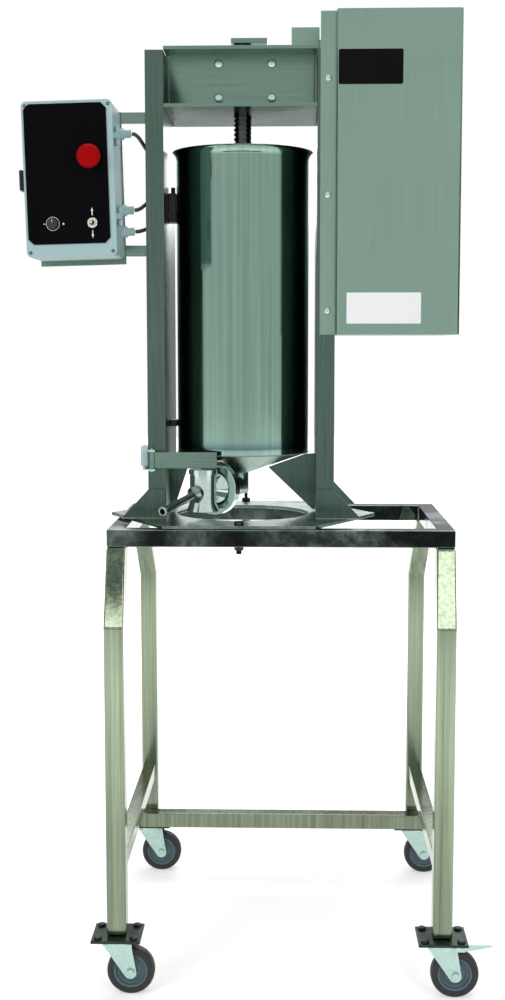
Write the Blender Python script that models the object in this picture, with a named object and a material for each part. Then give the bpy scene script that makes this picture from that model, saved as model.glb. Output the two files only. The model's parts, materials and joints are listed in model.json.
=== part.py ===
# Electric sausage stuffer on a wheeled stand.
# Metres, +Z up, the front of the machine towards -Y.
# The pieces are laid out about the middle of the stand's table, and the finished
# model is then moved so that its origin is under the middle of its footprint.
import math

import bmesh
import bpy
from mathutils import Matrix, Vector

# Clearances and faceting shared by all pieces
FIT_GAP = 0.0003
CUT_OVERRUN = 0.002
WELD = 0.001
ROUND_FINE = 48
ROUND_MID = 24
ROUND_SMALL = 12

# Table of the stand
TABLE_WIDTH = 0.600
TABLE_DEPTH = 0.410
TABLE_TOP = 0.764
TABLE_TUBE = 0.030

# Legs and lower rails
LEG_TUBE = 0.032
LEG_INSET = 0.014
LEG_KINK_DROP = 0.110
LEG_FRONT_STRIDE = 0.155
LEG_REAR_STRIDE = 0.027
SIDE_RAIL_WIDTH = 0.024
SIDE_RAIL_HEIGHT = 0.028
SIDE_RAIL_BOTTOM = 0.202
REAR_RAIL_TUBE = 0.030

# Casters
CASTER_HEIGHT = 0.103
CASTER_PLATE_LENGTH = 0.082
CASTER_PLATE_DEPTH = 0.075
CASTER_PLATE_SHEET = 0.005
CASTER_BOLT_INSET = 0.011
CASTER_BOLT_HEAD = 0.0065
CASTER_BOLT_HEIGHT = 0.004
WHEEL_RADIUS = 0.040
WHEEL_TREAD = 0.024
HUB_BORE = 0.0056
HUB_WEB_HALF = 0.005
HUB_RIM_INNER = 0.025
HUB_BOSS_RADIUS = 0.011
AXLE_RADIUS = 0.005
AXLE_NUT_RADIUS = 0.007
AXLE_NUT_HEIGHT = 0.005
CASTER_TRAIL = 0.022
SWIVEL_RADIUS = 0.023
SWIVEL_HEIGHT = 0.009
SWIVEL_RUN = 0.0005
FORK_SHEET = 0.003
FORK_SIDE_CLEAR = 0.002
FORK_TOP_HALF = 0.024
FORK_EYE_RADIUS = 0.0105
FORK_EYE_POINTS = 9
PEDAL_LENGTH = 0.046
PEDAL_WIDTH = 0.030
PEDAL_SHEET = 0.004
PEDAL_EAR = 0.004
PEDAL_PIVOT_RADIUS = 0.003
PEDAL_PIVOT_RUN = 0.0004
PEDAL_PIVOT_OUT = 0.033
PEDAL_PIVOT_FALL = 0.004

# Base plate bolted to the table
MACHINE_X = -0.072
MACHINE_Y = 0.025
BASE_PLATE_SHEET = 0.006
BASE_PLATE_HALF_LENGTH = 0.245
BASE_PLATE_HALF_FRONT = 0.132
BASE_PLATE_EDGE = 0.010
BASE_HOLE_RADIUS = 0.1215
HOLD_BOLT_RADIUS = 0.005
HOLD_BOLT_HOLE = 0.0055
HOLD_BOLT_HEAD = 0.0085
HOLD_BOLT_HEAD_HEIGHT = 0.006
HOLD_BOLT_TAIL = 0.014
HOLD_STUD_RISE = 0.034

# Posts, their feet and the cylinder's cradle
POST_SPAN = 0.333
POST_WIDTH = 0.032
POST_DEPTH = 0.230
POST_SHEET = 0.004
POST_TOP_RISE = 0.826
FOOT_SHEET = 0.005
FOOT_HEIGHT = 0.052
FOOT_FLARE = 0.048
CRADLE_SHEET = 0.006
CRADLE_FOOT_RISE = 0.004
CRADLE_RIGHT_TIP = 0.047
CRADLE_LEFT_TIP = 0.098
CRADLE_FOOT_BACK = 0.006
CRADLE_TOP_BACK = 0.004

# Crosshead with the screw's bearing
CROSS_DROP = 0.097
CROSS_HEIGHT = 0.1035
CROSS_SHEET = 0.006
CROSS_FLANGE = 0.050
BOLT_SPACING_X = 0.094
BOLT_SPACING_Z = 0.059
BOLT_OFFSET_X = 0.007
BOLT_RADIUS = 0.004
BOLT_HOLE = 0.0045
BOLT_HEAD = 0.0075
BOLT_HEAD_HEIGHT = 0.005
BOLT_DOME_SHARE = 0.8
HOUSING_END = 0.016
HOUSING_CHEEK = 0.008
HOUSING_BLOCK = 0.040

# Screw, nut, pulleys and belt
SCREW_RADIUS = 0.016
SCREW_RUN = 0.0006
NUT_WALL = 0.010
NUT_RUN = 0.0005
BELT_ARC_POINTS = 24
DRIVEN_RADIUS = 0.040
DRIVER_RADIUS = 0.020
PULLEY_FACE = 0.024
PULLEY_LIP = 0.003
PULLEY_LIP_HEIGHT = 0.002
PULLEY_RISE = 0.012
BELT_SHEET = 0.003
BELT_WIDTH = 0.018
BELT_RUN = 0.0006
DRIVE_CENTRES = 0.270
BELT_WINDOW_SPARE = 0.008

# Gear motor behind the drive cover
MOTOR_SHAFT_RADIUS = 0.008
MOTOR_BRACKET_SHEET = 0.005
MOTOR_BRACKET_WIDTH = 0.120
MOTOR_BRACKET_DROP = 0.090
MOTOR_BRACKET_REACH = 0.180
MOTOR_SHAFT_HOLE = 0.012
GEARBOX_SIDE = 0.090
GEARBOX_HEIGHT = 0.080
MOTOR_RADIUS = 0.048
MOTOR_LENGTH = 0.190

# Drive cover on the right post
COVER_WIDTH = 0.217
COVER_DROP = 0.492
COVER_ABOVE_POST = 0.063
COVER_SHEET = 0.002
COVER_PROUD = 0.020
COVER_CORNER = 0.007
COVER_CORNER_POINTS = 5
COVER_FLANGE = 0.027
COVER_SCREW_Z_SHARES = (0.075, 0.437, 0.796)
COVER_SCREW_HEAD = 0.0055
COVER_SCREW_HEIGHT = 0.003

# Stop plate on the screw, and the switch that it works
STOP_PLATE_LEFT = 0.020
STOP_PLATE_RIGHT = 0.045
STOP_PLATE_HALF_DEPTH = 0.024
STOP_PLATE_SHEET = 0.009
STOP_PLATE_ABOVE_POST = 0.038
END_SWITCH_WIDTH = 0.050
END_SWITCH_HEIGHT = 0.050
END_SWITCH_DEPTH = 0.044
END_SWITCH_LEFT = 0.089

# Cylinder, piston and outlet
CYLINDER_RADIUS = 0.121
CYLINDER_WALL = 0.002
CYLINDER_BOTTOM_RISE = 0.118
FILLING_GAP = 0.065
RIM_RADIUS = 0.1285
RIM_HEIGHT = 0.016
RIM_POINTS = 5
FUNNEL_DROP = 0.036
THROAT_RADIUS = 0.019
THROAT_X = -0.008
THROAT_Y = -0.022
OUTLET_AXIS_RISE = 0.059
OUTLET_YAW = math.radians(28.0)
ELBOW_REACH = 0.081
FLANGE_RADIUS = 0.043
FLANGE_SHEET = 0.006
UNION_RADIUS = 0.0475
UNION_RUN = 0.0005
UNION_BEHIND = 0.006
UNION_LIP = 0.0055
UNION_NECK = 0.034
CONE_BASE = 0.0425
CONE_BASE_SHEET = 0.004
CONE_START = 0.032
CONE_END = 0.014
VALVE_RADIUS = 0.0235
VALVE_DISTANCE = 0.044
VALVE_BOTTOM_RISE = 0.022
VALVE_TOP_RISE = 0.088
VALVE_FLARE = 0.0295
VALVE_FLARE_HEIGHT = 0.016
VALVE_COLLAR_RADIUS = 0.0255
VALVE_COLLAR_HEIGHT = 0.008
BOSS_RADIUS = 0.015
BOSS_LENGTH = 0.008
NOZZLE_RADIUS = 0.0065
NOZZLE_BORE = 0.005
NOZZLE_LENGTH = 0.104
NOZZLE_TILT = math.radians(10.8)
NOZZLE_LIP_RADIUS = 0.0085
NOZZLE_LIP_LENGTH = 0.010
PISTON_HEIGHT = 0.030
PISTON_REST_RISE = 0.121
PISTON_RUN = 0.002
PISTON_EDGE = 0.003
SEAL_HEIGHT = 0.010
SEAL_RUN = 0.0006
SEAL_DEPTH = 0.006
BRACKET_UPPER_DROP = 0.125
BRACKET_UPPER_HEIGHT = 0.052
BRACKET_LOWER_RISE = 0.166
BRACKET_LOWER_HEIGHT = 0.012
BRACKET_HALF_DEPTH = 0.020
BRACKET_PIN_RADIUS = 0.004
BRACKET_PIN_RISE = 0.012

# Retaining bar across the outlet, with its safety switch
BAR_LENGTH = 0.116
BAR_HEIGHT = 0.029
BAR_SHEET = 0.004
BAR_BOTTOM_RISE = 0.097
BAR_KNUCKLE = 0.006
BAR_PIN_RADIUS = 0.0025
BAR_PIN_RUN = 0.0004
BAR_LUG_HEIGHT = 0.004
BAR_HINGE_INSET = 0.008
BAR_OFFSET = 0.011
SWITCH_WIDTH = 0.013
SWITCH_HEIGHT = 0.036
SWITCH_DEPTH = 0.040
SWITCH_BOTTOM_RISE = 0.1
SWITCH_GLAND_RADIUS = 0.005
SWITCH_GLAND_LENGTH = 0.008

# Control box on two arms
BOX_WIDTH = 0.153
BOX_HEIGHT = 0.258
BOX_CENTRE_X = -0.2845
BOX_CENTRE_DROP = 0.232
BOX_LEAN = math.radians(-1.5)
BOX_BACK_Y = -0.086
BOX_DEPTH = 0.091
BOX_WALL = 0.004
BOX_CORNER = 0.008
BOX_CORNER_POINTS = 4
LID_DEPTH = 0.020
LID_WALL = 0.004
PANEL_SHEET = 0.002
PANEL_LEFT = 0.004
PANEL_RIGHT = 0.010
PANEL_TOP = 0.005
PANEL_BOTTOM = 0.021
PANEL_NOTCH = 0.009
BACK_PLATE_SHEET = 0.005
BACK_PLATE_DROP = 0.009
BACK_PLATE_INSET = 0.004
ARM_HEIGHT = 0.019
ARM_SHEET = 0.005
ARM_LENGTH = 0.150
ARM_UPPER_DROP = 0.124
ARM_LOWER_DROP = 0.354
HINGE_RADIUS = 0.005
HINGE_PIN_RADIUS = 0.002
HINGE_PIN_RUN = 0.0004
HINGE_LENGTH = 0.010
HINGE_REACH = 0.010
HINGE_ARC_POINTS = 10
HINGE_ZS = (0.071, -0.063)
LATCH_WIDTH = 0.008
LATCH_HEIGHT = 0.034
LATCH_DEPTH = 0.030
LATCH_ARC_POINTS = 7
ESTOP_X = 0.037
ESTOP_Z = 0.034
ESTOP_RADIUS = 0.020
ESTOP_CAP = 0.014
ESTOP_CAP_SHARES = ((0.93, 0.70), (0.55, 0.93))
ESTOP_BASE_RADIUS = 0.0145
ESTOP_BASE_HEIGHT = 0.009
ESTOP_STEM = 0.007
ESTOP_RUN = 0.0006
ESTOP_TRAVEL = 0.005
TOGGLE_X = 0.037
TOGGLE_Z = -0.074
TOGGLE_BUSH_RADIUS = 0.0062
TOGGLE_BUSH_HEIGHT = 0.006
TOGGLE_BORE = 0.004
TOGGLE_RADIUS = 0.0024
TOGGLE_TIP_RADIUS = 0.0034
TOGGLE_LENGTH = 0.016
TOGGLE_BALL = 0.003
TOGGLE_BALL_POINTS = 5
TOGGLE_PIVOT = 0.0035
KNOB_X = -0.030
KNOB_Z = -0.074
KNOB_RADIUS = 0.010
KNOB_HEIGHT = 0.010
KNOB_CHAMFER = 0.0015
GLAND_ZS = (0.085, -0.046, -0.083)
GLAND_Y = -0.100
GLAND_RADIUS = 0.010
GLAND_NUT_LENGTH = 0.007
GLAND_LENGTH = 0.020
GLAND_NOSE_RADIUS = 0.007
CABLE_RADIUS = 0.0035
CABLE_POINTS = 11
CABLE_END_Y = -0.045
CABLE_HANDLE = 0.018
CABLE_LAST_HANDLE = 0.030
CABLE_DROPS = (-0.040, 0.028, 0.014)

# Heights and faces that several pieces share. The machine stands on the table, so
# its heights follow the table's top, and those near the crosshead follow the posts.
TABLE_BOTTOM = TABLE_TOP - TABLE_TUBE
LEG_KINK_HEIGHT = TABLE_BOTTOM - LEG_KINK_DROP
BASE_PLATE_HALF_DEPTH = (TABLE_DEPTH - TABLE_TUBE) / 2 + BASE_PLATE_EDGE
POST_TOP = TABLE_TOP + POST_TOP_RISE
CROSS_BOTTOM = POST_TOP - CROSS_DROP
STOP_PLATE_TOP = POST_TOP + STOP_PLATE_ABOVE_POST
COVER_TOP = POST_TOP + COVER_ABOVE_POST
COVER_BOTTOM = POST_TOP - COVER_DROP
CYLINDER_TOP = CROSS_BOTTOM - FILLING_GAP
BRACKET_UPPER_Z = CYLINDER_TOP - BRACKET_UPPER_DROP
ARM_UPPER_Z = POST_TOP - ARM_UPPER_DROP
ARM_LOWER_Z = POST_TOP - ARM_LOWER_DROP
BOX_CENTRE_Z = POST_TOP - BOX_CENTRE_DROP
CYLINDER_BOTTOM = TABLE_TOP + CYLINDER_BOTTOM_RISE
OUTLET_AXIS_Z = TABLE_TOP + OUTLET_AXIS_RISE
VALVE_BOTTOM = TABLE_TOP + VALVE_BOTTOM_RISE
VALVE_TOP = TABLE_TOP + VALVE_TOP_RISE
PISTON_REST = TABLE_TOP + PISTON_REST_RISE
BRACKET_LOWER_Z = TABLE_TOP + BRACKET_LOWER_RISE
BAR_BOTTOM = TABLE_TOP + BAR_BOTTOM_RISE
SWITCH_BOTTOM = TABLE_TOP + SWITCH_BOTTOM_RISE
BASE_TOP = TABLE_TOP + FIT_GAP + BASE_PLATE_SHEET
POST_FRONT = MACHINE_Y - POST_DEPTH / 2
POST_REAR = MACHINE_Y + POST_DEPTH / 2
POST_INNER = POST_SPAN / 2 - POST_WIDTH
CROSS_TOP = CROSS_BOTTOM + CROSS_HEIGHT
CROSS_INNER_BOTTOM = CROSS_BOTTOM + CROSS_SHEET
CROSS_INNER_TOP = CROSS_TOP - CROSS_SHEET
WEB_HALF = POST_DEPTH / 2 - CROSS_FLANGE
OUT_X = -math.sin(OUTLET_YAW)
OUT_Y = -math.cos(OUTLET_YAW)


def clear_scene():
    """Remove whatever the file holds, so that the script starts from nothing."""
    for item in list(bpy.data.objects):
        bpy.data.objects.remove(item, do_unlink=True)


def material(name, colour, roughness, metallic):
    """A plain Principled material, reused when it exists."""
    found = bpy.data.materials.get(name)
    if found:
        return found
    made = bpy.data.materials.new(name)
    made.use_nodes = True
    shader = made.node_tree.nodes["Principled BSDF"]
    shader.inputs["Base Color"].default_value = (*colour, 1.0)
    shader.inputs["Roughness"].default_value = roughness
    shader.inputs["Metallic"].default_value = metallic
    made.diffuse_color = (*colour, 1.0)
    return made


def brushed_steel():
    return material("brushed_stainless", (0.46, 0.47, 0.45), 0.34, 1.0)


def polished_steel():
    return material("polished_stainless", (0.62, 0.63, 0.62), 0.14, 1.0)


def zinc_steel():
    return material("zinc_plated_steel", (0.66, 0.70, 0.72), 0.30, 1.0)


def black_steel():
    return material("blackened_steel", (0.03, 0.03, 0.03), 0.45, 0.6)


def black_plastic():
    return material("black_plastic", (0.015, 0.015, 0.017), 0.42, 0.0)


def grey_plastic():
    return material("pale_grey_plastic", (0.50, 0.60, 0.64), 0.40, 0.0)


def red_plastic():
    return material("red_plastic", (0.72, 0.01, 0.015), 0.32, 0.0)


def rubber():
    return material("black_rubber", (0.02, 0.02, 0.02), 0.75, 0.0)


def motor_paint():
    return material("motor_paint", (0.10, 0.16, 0.22), 0.45, 0.2)


def bronze():
    return material("bearing_bronze", (0.55, 0.38, 0.16), 0.35, 1.0)


def finish(name, mesh_data, surface, parent=None, smooth=True):
    """Turn a bmesh into a named object, its normals facing out."""
    bmesh.ops.recalc_face_normals(mesh_data, faces=mesh_data.faces)
    mesh = bpy.data.meshes.new(name)
    mesh_data.to_mesh(mesh)
    mesh_data.free()
    mesh.materials.append(surface)
    if smooth:
        mesh.shade_smooth()
        mesh.set_sharp_from_angle(angle=math.radians(30.0))
    made = bpy.data.objects.new(name, mesh)
    bpy.context.scene.collection.objects.link(made)
    if parent is not None:
        made.parent = parent
        bpy.context.view_layer.update()
        made.matrix_parent_inverse = parent.matrix_world.inverted()
    return made


def pivot(name, place, parent=None, lean=0.0):
    """An empty on a joint's axis or at a group's middle."""
    made = bpy.data.objects.new(name, None)
    bpy.context.scene.collection.objects.link(made)
    made.location = place
    made.rotation_euler = (0.0, lean, 0.0)
    if parent is not None:
        made.parent = parent
        bpy.context.view_layer.update()
        made.matrix_parent_inverse = parent.matrix_world.inverted()
    bpy.context.view_layer.update()
    return made


def cut(target, cutter, operation="DIFFERENCE"):
    """Cut one object with another, which is kept as a hidden guide."""
    cutter.hide_render = True
    cutter.display_type = "WIRE"
    step = target.modifiers.new(operation.lower() + "_" + cutter.name, "BOOLEAN")
    step.operation = operation
    step.solver = "EXACT"
    step.object = cutter


def weld(target, mesh_data, label):
    """Join more solids to an object, which they overlap a little."""
    guide = finish(target.name + "_" + label + "_guide", mesh_data, target.data.materials[0], target.parent)
    cut(target, guide, "UNION")


def add_box(mesh_data, low, high):
    """A box between two corners."""
    corners = []
    for z in (low[2], high[2]):
        for x, y in ((low[0], low[1]), (high[0], low[1]), (high[0], high[1]), (low[0], high[1])):
            corners.append(mesh_data.verts.new((x, y, z)))
    for ring in ((3, 2, 1, 0), (4, 5, 6, 7), (0, 1, 5, 4), (1, 2, 6, 5), (2, 3, 7, 6), (3, 0, 4, 7)):
        mesh_data.faces.new([corners[index] for index in ring])


def add_prism(mesh_data, outline, start, end, place):
    """Extrude a closed outline; place(u, v, w) gives the point in space."""
    first = [mesh_data.verts.new(place(u, v, start)) for u, v in outline]
    last = [mesh_data.verts.new(place(u, v, end)) for u, v in outline]
    count = len(outline)
    mesh_data.faces.new(first)
    mesh_data.faces.new(last)
    for index in range(count):
        after = (index + 1) % count
        mesh_data.faces.new((first[index], first[after], last[after], last[index]))


def upright(u, v, w):
    """Outline in plan, extruded along Z."""
    return (u, v, w)


def crosswise(u, v, w):
    """Outline in the YZ plane, extruded along X."""
    return (w, u, v)


def facing(u, v, w):
    """Outline in the XZ plane, extruded along Y."""
    return (u, w, v)


def circle(radius, count, centre=(0.0, 0.0)):
    """Points round a circle, with a flat facet at its lowest point."""
    turn = math.tau / count
    points = []
    for index in range(count):
        angle = turn * (index + 0.5) - math.pi / 2
        points.append((centre[0] + radius * math.cos(angle), centre[1] + radius * math.sin(angle)))
    return points


def add_lathe(mesh_data, profile, count, frame):
    """Turn a closed profile of (radius, height) about the frame's Z axis."""
    rings = []
    for radius, height in profile:
        if radius == 0.0:
            rings.append([mesh_data.verts.new(frame @ Vector((0.0, 0.0, height)))])
            continue
        ring = [mesh_data.verts.new(frame @ Vector((x, y, height))) for x, y in circle(radius, count)]
        rings.append(ring)
    pairs = zip(rings, rings[1:] + rings[:1])
    for ring, after in pairs:
        if len(ring) == 1 and len(after) == 1:
            continue
        for index in range(count):
            step = (index + 1) % count
            corners = [ring[index % len(ring)], ring[step % len(ring)]]
            corners += [after[step % len(after)], after[index % len(after)]]
            unique = list(dict.fromkeys(corners))
            mesh_data.faces.new(unique)


def frame_at(place, direction=(0.0, 0.0, 1.0)):
    """A frame whose Z axis points along a direction."""
    turn = Vector((0.0, 0.0, 1.0)).rotation_difference(Vector(direction))
    return Matrix.Translation(Vector(place)) @ turn.to_matrix().to_4x4()


def add_rod(mesh_data, radius, start, end, count):
    """A round bar between two points."""
    along = Vector(end) - Vector(start)
    frame = frame_at(start, along.normalized())
    profile = [(0.0, 0.0), (radius, 0.0), (radius, along.length), (0.0, along.length)]
    add_lathe(mesh_data, profile, count, frame)


def add_plate(mesh_data, outline, holes, low, high, place):
    """A flat plate with round or shaped holes through it."""
    rings = [outline] + holes
    bottom = bmesh.new()
    for ring in rings:
        verts = [bottom.verts.new((u, v, 0.0)) for u, v in ring]
        for index, vert in enumerate(verts):
            bottom.edges.new((vert, verts[(index + 1) % len(verts)]))
    bmesh.ops.triangle_fill(bottom, use_beauty=True, use_dissolve=False, edges=bottom.edges)
    bottom.verts.index_update()
    for level in (low, high):
        copies = [mesh_data.verts.new(place(vert.co.x, vert.co.y, level)) for vert in bottom.verts]
        for face in bottom.faces:
            mesh_data.faces.new([copies[vert.index] for vert in face.verts])
        if level == low:
            first = copies
        else:
            last = copies
    for edge in bottom.edges:
        if len(edge.link_faces) == 1:
            a, b = edge.verts[0].index, edge.verts[1].index
            mesh_data.faces.new((first[a], first[b], last[b], last[a]))
    bottom.free()


def rounded_rectangle(low, high, radius, points):
    """Outline of a rectangle whose corners are arcs."""
    outline = []
    centres = (
        (high[0] - radius, high[1] - radius, 0.0),
        (low[0] + radius, high[1] - radius, math.pi / 2),
        (low[0] + radius, low[1] + radius, math.pi),
        (high[0] - radius, low[1] + radius, math.pi * 3 / 2),
    )
    for u, v, start in centres:
        for index in range(points):
            angle = start + math.pi / 2 * index / (points - 1)
            outline.append((u + radius * math.cos(angle), v + radius * math.sin(angle)))
    return outline


def machine(x, y, z):
    """A point given from the machine's own axis."""
    return (MACHINE_X + x, MACHINE_Y + y, z)


def build_table():
    """Table frame of square tube, drilled for the two hold-down bolts."""
    half_x = TABLE_WIDTH / 2
    half_y = TABLE_DEPTH / 2
    outer = [(-half_x, -half_y), (half_x, -half_y), (half_x, half_y), (-half_x, half_y)]
    in_x = half_x - TABLE_TUBE
    in_y = half_y - TABLE_TUBE
    window = [(-in_x, -in_y), (in_x, -in_y), (in_x, in_y), (-in_x, in_y)]
    holes = [window]
    for side in (-1, 1):
        centre = (MACHINE_X, side * (half_y - TABLE_TUBE / 2))
        holes.append(circle(HOLD_BOLT_HOLE, ROUND_SMALL, centre))
    mesh_data = bmesh.new()
    add_plate(mesh_data, outer, holes, TABLE_BOTTOM, TABLE_TOP, upright)
    return finish("table_frame", mesh_data, polished_steel(), smooth=False)


def leg_middle(side_x, side_y):
    """Plan position of a leg's lower, upright part."""
    stride = LEG_FRONT_STRIDE if side_y < 0 else LEG_REAR_STRIDE
    x = side_x * (TABLE_WIDTH / 2 - LEG_INSET - LEG_TUBE / 2)
    y = side_y * (TABLE_DEPTH / 2 + stride - LEG_TUBE / 2)
    return x, y


def build_leg(name, side_x, side_y):
    """Square tube that slants out from under the table and then stands upright."""
    stride = LEG_FRONT_STRIDE if side_y < 0 else LEG_REAR_STRIDE
    top = TABLE_BOTTOM - FIT_GAP
    drop = top - LEG_KINK_HEIGHT
    slant = math.hypot(stride, drop)
    edge = TABLE_DEPTH / 2
    outer = edge + stride
    bend = LEG_TUBE * (slant - drop) * drop / (stride * slant)
    inner_kink = LEG_KINK_HEIGHT - LEG_TUBE * stride / slant + bend
    bottom = CASTER_HEIGHT + FIT_GAP
    outline = [
        (edge, top),
        (outer, LEG_KINK_HEIGHT),
        (outer, bottom),
        (outer - LEG_TUBE, bottom),
        (outer - LEG_TUBE, inner_kink),
        (edge - LEG_TUBE * slant / drop, top),
    ]
    shifts = [0.0, LEG_INSET, LEG_INSET, LEG_INSET, LEG_INSET, 0.0]
    mesh_data = bmesh.new()
    faces = []
    for across in (0.0, LEG_TUBE):
        ring = []
        for (out, z), shift in zip(outline, shifts):
            x = side_x * (TABLE_WIDTH / 2 - shift - across)
            ring.append(mesh_data.verts.new((x, side_y * out, z)))
        faces.append(ring)
    for ring in faces:
        mesh_data.faces.new((ring[0], ring[1], ring[4], ring[5]))
        mesh_data.faces.new((ring[1], ring[2], ring[3], ring[4]))
    count = len(outline)
    for index in range(count):
        after = (index + 1) % count
        mesh_data.faces.new((faces[0][index], faces[0][after], faces[1][after], faces[1][index]))
    bmesh.ops.triangulate(mesh_data, faces=mesh_data.faces)
    return finish(name, mesh_data, polished_steel(), smooth=False)


def build_lower_rails():
    """Two side rails between the legs, and a rear rail on the rear plates."""
    x, rear_y = leg_middle(1, 1)
    front_y = leg_middle(1, -1)[1]
    start = front_y + LEG_TUBE / 2 + FIT_GAP
    end = rear_y - LEG_TUBE / 2 - FIT_GAP
    for side, name in ((-1, "side_rail_left"), (1, "side_rail_right")):
        middle = side * x
        low = (middle - SIDE_RAIL_WIDTH / 2, start, SIDE_RAIL_BOTTOM)
        high = (middle + SIDE_RAIL_WIDTH / 2, end, SIDE_RAIL_BOTTOM + SIDE_RAIL_HEIGHT)
        mesh_data = bmesh.new()
        add_box(mesh_data, low, high)
        finish(name, mesh_data, polished_steel(), smooth=False)
    reach = x + LEG_TUBE / 2
    rest = CASTER_HEIGHT + FIT_GAP
    mesh_data = bmesh.new()
    add_box(mesh_data, (-reach, end - REAR_RAIL_TUBE, rest), (reach, end, rest + REAR_RAIL_TUBE))
    finish("rear_rail", mesh_data, polished_steel(), smooth=False)


def build_caster_plate(name, side_x, side_y):
    """Mounting plate under one leg, with the bolts that hold the caster."""
    half_x = CASTER_PLATE_LENGTH / 2
    half_y = CASTER_PLATE_DEPTH / 2
    low = CASTER_HEIGHT - CASTER_PLATE_SHEET
    x, y = leg_middle(side_x, side_y)
    mesh_data = bmesh.new()
    add_box(mesh_data, (x - half_x, y - half_y, low), (x + half_x, y + half_y, CASTER_HEIGHT))
    plate = finish(name, mesh_data, black_steel(), smooth=False)
    bolts = bmesh.new()
    rows = (-1, 1) if side_y < 0 else (1,)
    for across in (-1, 1):
        for row in rows:
            bolt_x = x + across * (half_x - CASTER_BOLT_INSET)
            bolt_y = y + row * (half_y - CASTER_BOLT_INSET)
            add_rod(bolts, CASTER_BOLT_HEAD, (bolt_x, bolt_y, CASTER_HEIGHT - WELD),
                    (bolt_x, bolt_y, CASTER_HEIGHT + CASTER_BOLT_HEIGHT), ROUND_SMALL)
    weld(plate, bolts, "bolts")


def fork_outline(axle_z):
    """One cheek of the fork, in XZ from the swivel axis: wide at the top, round at the axle."""
    top = CASTER_HEIGHT - CASTER_PLATE_SHEET - SWIVEL_HEIGHT - SWIVEL_RUN
    points = [(FORK_TOP_HALF, top), (-FORK_TOP_HALF, top)]
    for index in range(FORK_EYE_POINTS):
        angle = math.radians(205.0) + math.radians(150.0) * index / (FORK_EYE_POINTS - 1)
        x = CASTER_TRAIL + FORK_EYE_RADIUS * math.cos(angle)
        points.append((x, axle_z + FORK_EYE_RADIUS * math.sin(angle)))
    return points, top


def brake_pin(x):
    """Place of the brake pedal's pin in XZ, from the swivel's x."""
    top = CASTER_HEIGHT - CASTER_PLATE_SHEET - SWIVEL_HEIGHT
    return x + PEDAL_PIVOT_OUT, top - PEDAL_PIVOT_FALL / 2


def add_brake_bracket(fork, x, y):
    """Two ears and the pin that carry the brake pedal."""
    pin_x, pin_z = brake_pin(x)
    ear = PEDAL_WIDTH / 2 + PEDAL_PIVOT_RUN
    ears = bmesh.new()
    start = x + FORK_TOP_HALF - WELD * 2
    for side in (-1, 1):
        near = y + side * ear
        far = near + side * PEDAL_EAR
        low = (start, min(near, far), pin_z - PEDAL_EAR)
        high = (pin_x + PEDAL_EAR, max(near, far), pin_z + PEDAL_EAR)
        add_box(ears, low, high)
    weld(fork, ears, "ears")
    pin = bmesh.new()
    add_rod(pin, PEDAL_PIVOT_RADIUS, (pin_x, y - ear - PEDAL_EAR - WELD, pin_z),
            (pin_x, y + ear + PEDAL_EAR + WELD, pin_z), ROUND_SMALL)
    weld(fork, pin, "pin")


def build_caster(name, side_x, side_y):
    """Swivel fork with its axle, the wheel's hub and its tyre."""
    x, y = leg_middle(side_x, side_y)
    axle_z = WHEEL_RADIUS
    axle_x = x + CASTER_TRAIL
    swivel = pivot(name + "_swivel_axis", (x, y, CASTER_HEIGHT))
    spin = pivot(name + "_wheel_axis", (axle_x, y, axle_z), swivel)
    outline, top = fork_outline(axle_z)
    inner = WHEEL_TREAD / 2 + FORK_SIDE_CLEAR
    edge = FORK_TOP_HALF - WELD / 2
    side_edge = inner + FORK_SHEET - WELD / 2
    mesh_data = bmesh.new()
    upper = (x + edge, y + side_edge, top + FORK_SHEET - WELD)
    add_box(mesh_data, (x - edge, y - side_edge, top - WELD), upper)
    fork = finish("fork_" + name, mesh_data, zinc_steel(), swivel, smooth=False)
    placed = [(x + u, v) for u, v in outline]
    cheeks = bmesh.new()
    for side in (-1, 1):
        add_prism(cheeks, placed, y + side * inner, y + side * (inner + FORK_SHEET), facing)
    weld(fork, cheeks, "cheeks")
    race = bmesh.new()
    race_top = CASTER_HEIGHT - CASTER_PLATE_SHEET - SWIVEL_RUN
    add_rod(race, SWIVEL_RADIUS, (x, y, top), (x, y, race_top), ROUND_MID)
    weld(fork, race, "race")
    end = inner + FORK_SHEET
    axle = [
        (0.0, -end - AXLE_NUT_HEIGHT),
        (AXLE_NUT_RADIUS, -end - AXLE_NUT_HEIGHT),
        (AXLE_NUT_RADIUS, WELD - end),
        (AXLE_RADIUS, WELD - end),
        (AXLE_RADIUS, end - WELD),
        (AXLE_NUT_RADIUS, end - WELD),
        (AXLE_NUT_RADIUS, end + AXLE_NUT_HEIGHT),
        (0.0, end + AXLE_NUT_HEIGHT),
    ]
    bolt = bmesh.new()
    add_lathe(bolt, axle, ROUND_SMALL, frame_at((axle_x, y, axle_z), (0.0, 1.0, 0.0)))
    weld(fork, bolt, "axle")
    if side_y < 0 < side_x:
        add_brake_bracket(fork, x, y)
    half = WHEEL_TREAD / 2
    bevel = FORK_SIDE_CLEAR
    tread = WHEEL_RADIUS / math.cos(math.pi / ROUND_MID)
    profile = [
        (HUB_BORE, -half),
        (HUB_BOSS_RADIUS, -half),
        (HUB_BOSS_RADIUS, -HUB_WEB_HALF),
        (HUB_RIM_INNER, -HUB_WEB_HALF),
        (HUB_RIM_INNER, -half),
        (tread - bevel, -half),
        (tread, -half + bevel),
        (tread, half - bevel),
        (tread - bevel, half),
        (HUB_RIM_INNER, half),
        (HUB_RIM_INNER, HUB_WEB_HALF),
        (HUB_BOSS_RADIUS, HUB_WEB_HALF),
        (HUB_BOSS_RADIUS, half),
        (HUB_BORE, half),
    ]
    mesh_data = bmesh.new()
    wheel_frame = frame_at((axle_x, y, axle_z)) @ Matrix.Rotation(math.radians(90.0), 4, "X")
    add_lathe(mesh_data, profile, ROUND_MID, wheel_frame)
    finish("wheel_" + name, mesh_data, rubber(), spin)
    return swivel


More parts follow.
